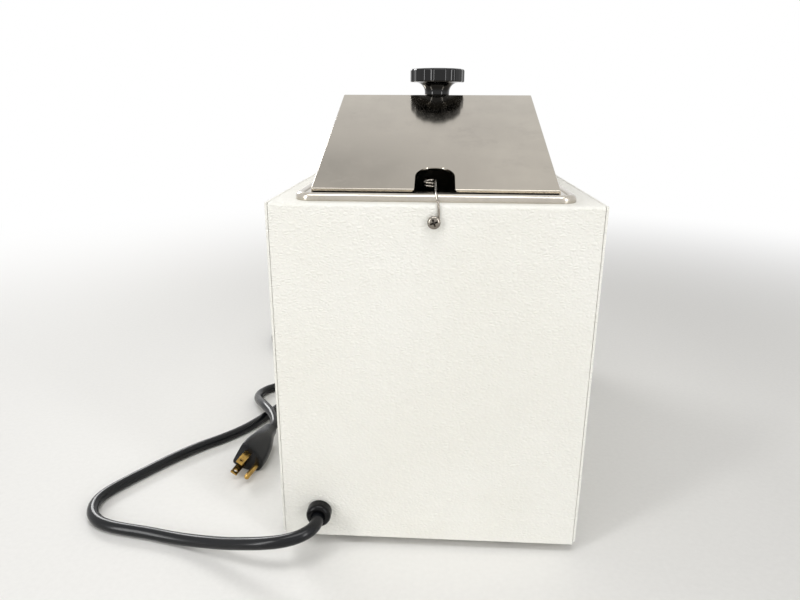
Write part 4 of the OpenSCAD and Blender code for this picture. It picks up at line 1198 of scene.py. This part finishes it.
@dataclass
class Cabinet:
    """Painted cabinet with the bushing of the cord in its back."""

    sheet: float = 1.2
    sheet_edge: float = 0.3
    bushing: Point = (80, 213, 28)
    flange_r: float = 9.0
    flange_out: float = 9.0
    flange_soft: float = 3.4
    flange_edge: float = 0.3
    flange_gap: float = 0.02
    neck_r: float = 6.28
    barb: float = 1.4
    barb_l: float = 14.0
    barb_wall: float = 1.0
    bore: float = 4.6
    mouth: float = 0.8
    mouth_drop: float = 0.15

    def bushing_profile(self) -> Profile:
        """Draws the bushing's closed section, from the bore's inner end around the flange and back.

        Returns:
            Radius and height over the panel at each point.
        """
        r, out, soft = self.flange_r, self.flange_out, self.flange_soft
        neck, barb = self.neck_r, self.neck_r + self.barb
        inside, tip = -self.sheet, -self.sheet - self.barb_l
        gap, edge = self.flange_gap, self.flange_edge
        profile = [(self.bore, tip), (self.bore + self.barb_wall, tip), (barb, inside - self.barb_l / 2),
                   (barb, inside), (neck, inside), (neck, gap), (r - edge, gap), (r, edge)]
        profile += bend((r - soft, out - soft), soft, 0, 75, 8)
        profile += bend((self.bore + self.mouth, out - self.mouth - self.mouth_drop), self.mouth, 80, 180, 5)
        return profile + [(self.bore, tip)]

    def build(self) -> None:
        """Softens the sheets' edges and adds the domed bushing."""
        for node in ("cabinet_wrap", "side_panel_right", "side_panel_left"):
            softened_node(node, Body.CABINET, Slot.CABINET_PAINT, self.sheet_edge)
        place = Matrix.Translation(Vector(self.bushing)) @ Matrix.Rotation(-pi / 2, 4, "X")
        # The bore stays open, so the two caps are left out
        points, faces = lathe(self.bushing_profile(), place, sides=64)
        bushing = settle(new_object("cord_bushing", (points, faces[:-2])), sharp=42.0)
        dress(bushing, Body.CABINET, Slot.BLACK_MOULDING, "strain_relief")


@dataclass
class Tank:
    """Deep tank with a rolled rim that lies on the cabinet."""

    width: float = 152.0
    length: float = 340.0
    depth: float = 150.0
    sheet: float = 1.0
    corner: float = 22.0
    hub: float = 1.0
    rim_side: float = 15.8
    rim_end: float = 26.0
    rim_corner: float = 12.0
    rim_tight: float = 1.6
    bead: float = 6.6
    bead_foot: tuple[tuple[float, float], ...] = ((0, 0.3), (0.3, 0), (1.2, 0))
    bead_skin: float = 1.6
    rim_h: float = 5.1
    flat_h: float = 3.5
    mid_y: float = 8.0
    top: float = 255.5
    mouth: float = 2.2
    floor_fold: float = 9.0
    over_floor: float = 40.0
    under_flat: float = 30.0
    beside_bead: tuple[float, float] = (2.5, 0.6)
    under_in: float = 4.0
    outer_drop: float = 1.0
    outer_rise: float = 10.0

    @property
    def flat_z(self) -> float:
        """Returns the height of the rim's flat."""
        return self.top + self.flat_h

    @property
    def floor_z(self) -> float:
        """Returns the height of the tank's floor."""
        return self.flat_z - self.depth

    def rim_ring(self, inset: float, z: float) -> Ring:
        """Returns the ring at that inset from the rim's outer edge."""
        return round_ring(self.width / 2 + self.rim_side - inset, self.length / 2 + self.rim_end - inset,
                          max(self.rim_corner - inset, self.rim_tight), self.mid_y, z)

    def wall_ring(self, inset: float, z: float) -> Ring:
        """Returns the ring at that inset from the tank's inner wall."""
        return round_ring(self.width / 2 - inset, self.length / 2 - inset, self.corner - inset, self.mid_y, z)

    def fold_rings(self, radius: float, start: float, end: float) -> list[Ring]:
        """Returns the rings of the fold between floor and wall, at that radius."""
        centre = (self.floor_fold, self.floor_z + self.floor_fold)
        return [self.wall_ring(x, z) for x, z in bend(centre, radius, start, end, 8)]

    def inner_rings(self) -> list[Ring]:
        """Draws the inner skin from the floor's middle up the walls to the rim's flat.

        Returns:
            The rings in order.
        """
        rings = [self.wall_ring(self.width / 2 - self.hub, self.floor_z),
                 *self.fold_rings(self.floor_fold, -90, -180),
                 self.wall_ring(0, self.floor_z + self.over_floor),
                 self.wall_ring(0, self.flat_z - self.under_flat)]
        rings += [self.wall_ring(-self.mouth + x, z)
                  for x, z in bend((0, self.flat_z - self.mouth), self.mouth, 0, 90, 6)]
        return rings + [self.rim_ring(self.bead + gap, self.flat_z) for gap in self.beside_bead]

    def bead_rings(self) -> list[Ring]:
        """Draws the rolled bead from the rim's flat out and down to the cabinet.

        Returns:
            The rings in order.
        """
        r = self.bead / 2
        rise = self.rim_h - r
        meet = int(degrees(acos((self.flat_h - rise) / r)))
        rings = [self.rim_ring(r - r * sin(radians(a)), self.top + rise + r * cos(radians(a)))
                 for a in range(4 - meet, 91, 6)]
        return rings + [self.rim_ring(inset, self.top + up) for inset, up in self.bead_foot]

    def outer_rings(self) -> list[Ring]:
        """Draws the outer skin from under the rim down the walls to below the floor's middle.

        Returns:
            The rings in order.
        """
        under = self.flat_z - self.sheet
        rings = [self.rim_ring(self.bead_skin, under), self.rim_ring(self.bead + self.under_in, under),
                 self.wall_ring(-self.sheet, under - self.outer_drop),
                 self.wall_ring(-self.sheet, self.floor_z + self.outer_rise)]
        rings += self.fold_rings(self.floor_fold + self.sheet, 180, 270)
        return rings + [self.wall_ring(self.width / 2 - self.hub, self.floor_z - self.sheet)]

    def build(self) -> None:
        """Builds the tank as one closed skin, inside and out."""
        rings = self.inner_rings() + self.bead_rings() + self.outer_rings()
        skin = settle(new_object("tank_pressed", loft(rings)), sharp=40.0, weighted=True)
        dress(skin, Body.CABINET, Slot.STAINLESS_TANK, "tank")


@dataclass
class Lid:
    """Folded lid with two slopes, a notch for the thermometer and a fluted knob."""

    width: float = 166.0
    length: float = 356.0
    flat: float = 21.0
    rise: float = 61.6
    lip: float = 1.8
    skirt: float = 0.8
    sheet: float = 0.8
    fold: float = 0.7
    mid_y: float = 8.0
    low: float = 259.8
    notch_w: float = 27.4
    notch_l: float = 31.5
    notch_soft: float = 2.5
    knob_r: float = 24.0
    knob_h: float = 22.8
    knob_under: float = 10.8
    knob_edge: float = 1.8
    knob_crown: float = 0.8
    knob_low_edge: float = 1.1
    knob_flat_in: float = 2.4
    neck_r: float = 11.0
    neck_foot: float = 0.5
    neck_h: float = 2.4
    flutes: int = 8
    first_flute: float = 74.0
    flute_r: float = 9.0
    flute_depth: float = 1.1
    flute_soft: float = 0.5
    flute_reach: float = 7.0
    flute_fade: float = 0.6

    def folded_sheet(self) -> bpy.types.Object:
        """Folds the sheet: two slopes with a flat between them, a lip under each, and upright sides.

        Returns:
            The object.
        """
        half_l, half_w, half_flat = self.length / 2, self.width / 2, self.flat / 2
        ridge = self.lip + self.rise
        outline = ((-half_l, 0), (-half_l, self.lip), (-half_flat, ridge),
                   (half_flat, ridge), (half_l, self.lip), (half_l, 0))
        rings = [[Vector((x, self.mid_y + y, self.low + z)) for y, z in outline] for x in (-half_w, half_w)]
        shell = new_object("lid_folded", loft(rings))
        mesh = bmesh.new()
        mesh.from_mesh(shell.data)
        near = 1e-5
        level = self.low * MM + near
        folds = [e for e in mesh.edges if max(v.co.z for v in e.verts) > level]
        bmesh.ops.bevel(mesh, geom=folds, offset=self.fold * MM, segments=4, profile=0.5, affect="EDGES")
        under = [f for f in mesh.faces if all(v.co.z < level for v in f.verts)]
        bmesh.ops.delete(mesh, geom=under, context="FACES_ONLY")
        sides = [e for e in mesh.edges
                 if e.is_boundary and all(abs(abs(v.co.x) - half_w * MM) < near / 10 for v in e.verts)]
        hem = bmesh.ops.extrude_edge_only(mesh, edges=sides)["geom"]
        for vert in {part for part in hem if isinstance(part, bmesh.types.BMVert)}:
            vert.co.z -= self.skirt * MM
        bmesh.ops.recalc_face_normals(mesh, faces=mesh.faces)
        if sum(f.normal.z * f.calc_area() for f in mesh.faces) < 0:
            bmesh.ops.reverse_faces(mesh, faces=mesh.faces)
        mesh.to_mesh(shell.data)
        mesh.free()
        solid = shell.modifiers.new("sheet", "SOLIDIFY")
        solid.thickness, solid.offset, solid.use_even_offset = self.sheet * MM, -1.0, True
        return settle(shell)

    def notch(self) -> Surface:
        """Draws the notch's cutter, straight from the back edge and round at its inner end.

        Returns:
            The closed cutter.
        """
        back = self.mid_y + self.length / 2
        r = self.notch_w / 2
        past, below, above = 5, 8, 40
        arch = bend((0, back - self.notch_l + r), r, 180, 360, 32)
        plan = [(-r, back + past), *arch, (r, back + past)]
        return loft([[Vector((x, y, z)) for x, y in plan] for z in (self.low - below, self.low + above)])

    def notch_corner(self, side: int) -> Surface:
        """Draws the cutter that rounds the lip's corner beside the notch.

        Args:
            side: 1 for the corner at larger X, -1 for the other.

        Returns:
            The closed cutter.
        """
        back = self.mid_y + self.length / 2
        r, soft = self.notch_w / 2, self.notch_soft
        into, below, depth = 0.5, 1, 3
        outline = [(r - into, -below), (r + soft, -below), (r + soft, 0)]
        outline += [(r + soft - soft * sin(radians(a)), soft - soft * cos(radians(a)))
                    for a in range(15, 91, 15)]
        outline += [(r - into, soft)]
        return loft([[Vector((side * x, y, self.low + z)) for x, z in outline]
                     for y in (back - depth, back + depth)])

    def build_shell(self) -> None:
        """Folds the sheet, cuts the notch and rounds its corners."""
        shell = self.folded_sheet()
        cut_away(shell, self.notch(), self.notch_corner(-1), self.notch_corner(1))
        dress(settle(shell, sharp=32.0, weighted=True), Body.LID, Slot.STAINLESS_LID, "lid_shell")

    def fluted_r(self, angle: float) -> float:
        """Gives the knob's outer radius, with soft edges beside each flute.

        Args:
            angle: direction from the knob's axis, in radians.

        Returns:
            The radius there.
        """
        step = 2 * pi / self.flutes
        off = (angle - radians(self.first_flute) + step / 2) % step - step / 2
        centre = self.knob_r + self.flute_r - self.flute_depth
        inside = self.flute_r ** 2 - (centre * sin(off)) ** 2
        if inside <= 0:
            return self.knob_r
        gap = self.knob_r - centre * cos(off) + sqrt(inside)
        too_far = -3
        if gap <= too_far:
            return self.knob_r
        return self.knob_r - (gap + sqrt(gap * gap + self.flute_soft ** 2)) / 2 + self.flute_soft / 2

    def knob_profile(self) -> Profile:
        """Draws the knob without its flutes: a trumpet neck under a slightly crowned disc.

        Returns:
            Radius and height at each point.
        """
        r, neck, under = self.knob_r, self.neck_r, self.knob_under
        edge, crown, low, foot = self.knob_edge, self.knob_crown, self.knob_low_edge, self.neck_foot
        flare = under - self.neck_h
        top = self.knob_h - crown - edge
        # A second point close to a bend keeps the straight wall beside it evenly shaded
        profile = [(0.0, 0.0), (neck - foot, 0.0), (neck, foot), (neck, foot + 0.2), (neck, 2.2)]
        profile += bend((neck + flare, under - flare), flare, 180, 90, 12)
        profile += [(r - self.knob_flat_in, under + 0.1)]
        profile += bend((r - low, under + low + 0.1), low, -90, 0, 5)
        profile += [(r, under + low + 0.3), (r, top - 0.2)]
        profile += bend((r - edge, top), edge, 0, 78, 8)
        # Distance from the axis, with the share of the crown that is still to rise
        crowned = ((r - edge - 2.6, 0.75), (r - edge - 5.5, 0.42), (8.0, 0.1), (0.0, 0.0))
        return profile + [(x, self.knob_h - crown * share) for x, share in crowned]

    def build_knob(self) -> None:
        """Builds the moulded knob, with flutes that fade towards its neck."""
        base = Vector((0, self.mid_y, self.low + self.lip + self.rise))
        cuts = [(a, self.knob_r - self.fluted_r(a)) for a in around(192)]
        thin = 1e-4
        rings = []
        for r, h in self.knob_profile():
            near_rim = min(max((r - (self.knob_r - self.flute_reach)) / self.flute_reach, 0.0), 1.0)
            radii = [(a, max(r - cut * near_rim ** self.flute_fade, thin)) for a, cut in cuts]
            rings.append([base + Vector((radius * cos(a), radius * sin(a), h)) for a, radius in radii])
        knob = settle(new_object("lid_knob_moulded", loft(rings)), sharp=48.0)
        dress(knob, Body.LID, Slot.PHENOLIC, "lid_knob")

    def build(self) -> None:
        """Builds the sheet and the knob."""
        self.build_shell()
        self.build_knob()


@dataclass
class ThermometerHolder:
    """Spring wire that stands on the back panel's screw and ends in loops over the water."""

    wire: float = 1.5
    wire_tip: float = 0.54
    back: float = 213.0
    top: float = 255.5
    crest_y: float = 201.0
    crest_z: float = 260.6
    clip_z: float = 244.5
    skin_gap: float = 0.05
    eye_r: float = 2.9
    eye_turn: tuple[int, int, int] = (470, 179, -29)
    loop_r: float = 4.2
    loop_x: float = 3.5
    loop_y: float = 166.0
    loop_top: float = 265.2
    loop_step: int = 20
    pitch: float = 2.1
    turns: float = 2.25
    head_r: float = 4.2
    head_h: float = 2.6
    head_edge: float = 0.3
    head_wall: float = 0.8
    head_curve: float = 0.75
    shank_r: float = 2.0
    shank_l: float = 8.4
    shank_tip: float = 1.5
    shank_taper: float = 0.8
    recess_turn: float = 20.0
    recess_top: Point = (0.5, 3.1, 0.66)
    recess_low: Point = (-2.3, 0.9, 0.3)

    def route(self) -> list[Point]:
        """Draws the wire's route: eye under the screw, shank over the rim, loops over the water.

        Returns:
            The route's points.
        """
        skin = self.back + self.wire / 2 + self.skin_gap
        points = [(self.eye_r * cos(radians(a)), skin, self.clip_z + self.eye_r * sin(radians(a)))
                  for a in range(*self.eye_turn)]
        edge = self.loop_x - self.loop_r
        # These points are chosen so that the wire leans a little and clears the rim's bead
        points += [(-2.9, skin, self.clip_z + 5), (-2.6, skin, self.top - 1),
                   (-2.2, self.back - 0.2, self.top + 1.6),
                   (-1.6, (self.back + self.crest_y + 3) / 2, self.crest_z - 1.2),
                   (-1, self.crest_y + 2.5, self.crest_z + 0.6), (edge, self.crest_y - 3, self.crest_z + 1.2),
                   (edge, self.loop_y + 18, self.loop_top - 1.6), (edge, self.loop_y + 6, self.loop_top)]
        for a in range(0, int(360 * self.turns) + 1, self.loop_step):
            x, y = self.loop_r * cos(radians(a)), self.loop_r * sin(radians(a))
            points.append((self.loop_x - x, self.loop_y - y, self.loop_top - a * self.pitch / 360))
        return points

    def recess(self, place: Matrix) -> Surface:
        """Draws the cutter of the screw's cross recess.

        Args:
            place: the screw's place, with its axis along local Z.

        Returns:
            The closed cutter.
        """
        turned = place @ Matrix.Rotation(radians(self.recess_turn), 4, "Z")
        quarters = [turned @ Matrix.Rotation(radians(90 * k), 4, "Z") for k in range(4)]
        rings = []
        for up, long, wide in (self.recess_top, self.recess_low):
            arm = ((wide, -wide), (long, -wide), (long, wide))
            rings.append([quarter @ Vector((x, y, self.head_h + up)) for quarter in quarters for x, y in arm])
        return loft(rings)

    def build_screw(self) -> None:
        """Builds the pan head screw with its cross recess."""
        face = self.back + self.wire + 2 * self.skin_gap
        place = Matrix.Translation((0, face, self.clip_z)) @ Matrix.Rotation(-pi / 2, 4, "X")
        r, h, wall, shank, tip = self.head_r, self.head_h, self.head_wall, self.shank_r, -self.shank_l
        profile = [(0, tip), (self.shank_tip, tip), (shank, tip + self.shank_taper), (shank, 0),
                   (r - self.head_edge, 0), (r, self.head_edge), (r, wall)]
        profile += [(r * cos(radians(a)) ** self.head_curve, wall + (h - wall) * sin(radians(a)))
                    for a in range(12, 85, 9)]
        screw = new_object("holder_screw_head", lathe(profile + [(0, h)], place, sides=48))
        cut_away(screw, self.recess(place))
        dress(settle(screw, sharp=35.0), Body.CABINET, Slot.SPRING_WIRE, "holder_screw")

    def build(self) -> None:
        """Builds the wire and its screw."""
        line = flow(self.route(), steps=3)
        radii = [self.wire_tip, *[self.wire / 2] * (len(line) - 2), self.wire_tip]
        wire = settle(new_object("thermometer_spring", sweep(line, radii, sides=14)), sharp=60.0)
        dress(wire, Body.CABINET, Slot.SPRING_WIRE, "thermometer_holder")
        self.build_screw()


@dataclass
class ControlPanel:
    """Front plate with the thermostat's dial, pilot lamp and power switch."""

    plate_y: float = -198.0
    panel_z: float = 50.0
    dial_x: float = -46.0
    dial_r: float = 23.0
    dial_face: float = -222.0
    skirt_face: float = -201.8
    first: float = -150.0
    last: float = 150.0
    marks: int = 11
    number_h: float = 4.2
    number_gap: float = 5.2
    number_drop: float = 0.9
    tick_gap: float = 0.5
    tick: tuple[float, float] = (1.3, 0.4)
    pointer_w: float = 1.1
    grip_line: tuple[float, float] = (9.0, 6.4)
    skirt_line: tuple[float, float] = (18.0, 4.6)
    switch_x: float = 54.0
    pivot_y: float = -194.0
    rocker_tilt: float = 11.0
    rocker_half: float = 12.3
    rocker_dip: float = 2.5
    rocker_face: float = 7.25
    sign_z: float = 6.15
    sign_bar: tuple[float, float] = (4.4, 0.8)
    sign_ring: tuple[float, float] = (2.3, 1.6)
    ring_narrow: float = 0.8
    print_h: float = 0.04
    print_gap: float = 0.01

    def characters(self, text: str, size: float, place: Matrix) -> Surface:
        """Sets flat characters.

        Args:
            text: the characters.
            size: their size in millimetres.
            place: local X runs along the line, local Y up it, local Z out of the face.

        Returns:
            The surface of the line.
        """
        curve = bpy.data.curves.new("characters", "FONT")
        curve.body, curve.size, curve.extrude = text, size, self.print_h / 2
        curve.align_x, curve.align_y = "CENTER", "CENTER"
        line = linked("characters", curve)
        mesh = baked(line)
        surface = ([place @ v.co.copy() for v in mesh.vertices], [tuple(p.vertices) for p in mesh.polygons])
        bpy.data.objects.remove(line)
        return surface

    def bar(self, place: Matrix, length: float, width: float) -> Surface:
        """Draws a printed bar.

        Args:
            place: where the bar starts; it runs along local Y.
            length: its length.
            width: its width.

        Returns:
            The closed bar.
        """
        w, h = width / 2, self.print_h / 2
        return loft([[place @ Vector((x, y, z)) for x, y in ((-w, 0), (w, 0), (w, length), (-w, length))]
                     for z in (-h, h)])

    def on_face(self, x: float, y: float, z: float) -> Matrix:
        """Returns a place on a face that looks to the front."""
        middle = y - self.print_h / 2 - self.print_gap
        return Matrix.Translation((x, middle, z)) @ Matrix.Rotation(pi / 2, 4, "X")

    def along(self, face: float, angle: float, start: float) -> Matrix:
        """Returns a place on a face, at that angle and distance from the dial's axis."""
        turned = self.on_face(self.dial_x, face, self.panel_z) @ Matrix.Rotation(-angle, 4, "Z")
        return turned @ Matrix.Translation((0, start, 0))

    def build_scale(self) -> None:
        """Prints numbers and ticks around the dial."""
        parts = []
        out = self.dial_r + self.number_gap
        for i in range(self.marks):
            a = radians(self.first + (self.last - self.first) * i / (self.marks - 1))
            number = self.on_face(self.dial_x + out * sin(a), self.plate_y,
                                  self.panel_z + (out - self.number_drop) * cos(a))
            parts.append(self.characters(str(i), self.number_h, number))
            parts.append(self.bar(self.along(self.plate_y, a, self.dial_r + self.tick_gap), *self.tick))
        dress(new_object("dial_scale_print", merged(*parts)), Body.CABINET, PRINT_DARK)

    def build_pointer(self) -> None:
        """Prints the pointer on the dial's grip and skirt."""
        a = radians(self.first)
        lines = ((self.dial_face, *self.grip_line), (self.skirt_face, *self.skirt_line))
        parts = [self.bar(self.along(face, a, start), length, self.pointer_w)
                 for face, start, length in lines]
        dress(new_object("dial_pointer_print", merged(*parts)), Body.DIAL, PRINT_WHITE)

    def rocker_place(self, side: int) -> Matrix:
        """Finds the middle of one of the rocker's two faces.

        Args:
            side: 1 for the upper face, -1 for the lower one.

        Returns:
            The place: local Y runs up the face, local Z out of it.
        """
        pivot = Matrix.Translation((self.switch_x, self.pivot_y, self.panel_z))
        lean = atan2(self.rocker_dip, self.rocker_half)
        return (pivot @ Matrix.Rotation(radians(self.rocker_tilt), 4, "X")
                @ Matrix.Translation((0, -self.rocker_face, side * self.sign_z))
                @ Matrix.Rotation(side * lean, 4, "X") @ Matrix.Rotation(pi / 2, 4, "X")
                @ Matrix.Translation((0, 0, self.print_h / 2 + 2 * self.print_gap)))

    def build_switch_marks(self) -> None:
        """Prints a bar on the rocker's upper face and a ring on its lower face."""
        length, width = self.sign_bar
        bar = self.bar(self.rocker_place(1) @ Matrix.Translation((0, -length / 2, 0)), length, width)
        lower = self.rocker_place(-1)
        rings = [[lower @ Vector((r * self.ring_narrow * cos(a), r * sin(a), self.print_h / 2))
                  for a in around(32)] for r in self.sign_ring]
        signs = new_object("rocker_sign_print", merged(bar, loft(rings, closed=False)))
        dress(signs, Body.ROCKER, PRINT_WHITE)

    def build(self) -> None:
        """Dresses the plate and its controls."""
        softened_node("control_plate", Body.CABINET, Slot.PLATE_METAL, width=0.25)
        softened_node("thermostat_knob", Body.DIAL, Slot.BLACK_MOULDING, width=0.5, segments=3)
        softened_node("switch_housing", Body.CABINET, Slot.BLACK_MOULDING, width=0.4, segments=3)
        softened_node("power_rocker", Body.ROCKER, Slot.BLACK_MOULDING, width=0.7, segments=3)
        softened_node("lamp_body", Body.CABINET, Slot.LAMP_METAL, width=0.4, segments=3)
        self.build_scale()
        self.build_pointer()
        self.build_switch_marks()


@dataclass
class LoosePieces:
    """Feet under the cabinet, and the shelf that lifts out of the tank."""

    foot_edge: float = 0.8
    shelf_edge: float = 0.25

    def build(self) -> None:
        """Softens the feet and the shelf."""
        softened_node("feet", Body.CABINET, Slot.FOOT_RUBBER, self.foot_edge, segments=3)
        softened_node("diffuser_shelf", Body.SHELF, Slot.STAINLESS_TANK, self.shelf_edge, segments=1)


def main() -> None:
    """Builds the studio, the cord and every sub-assembly in order."""
    logging.basicConfig(level=logging.INFO, format="%(name)s: %(message)s")
    Studio().build()
    MainsCord().build()
    paint_nodes()
    for assembly in (Cabinet(), Tank(), Lid(), ThermometerHolder(), ControlPanel(), LoosePieces()):
        assembly.build()
        LOG.info("%s is built", type(assembly).__name__)


if __name__ == "__main__":
    main()
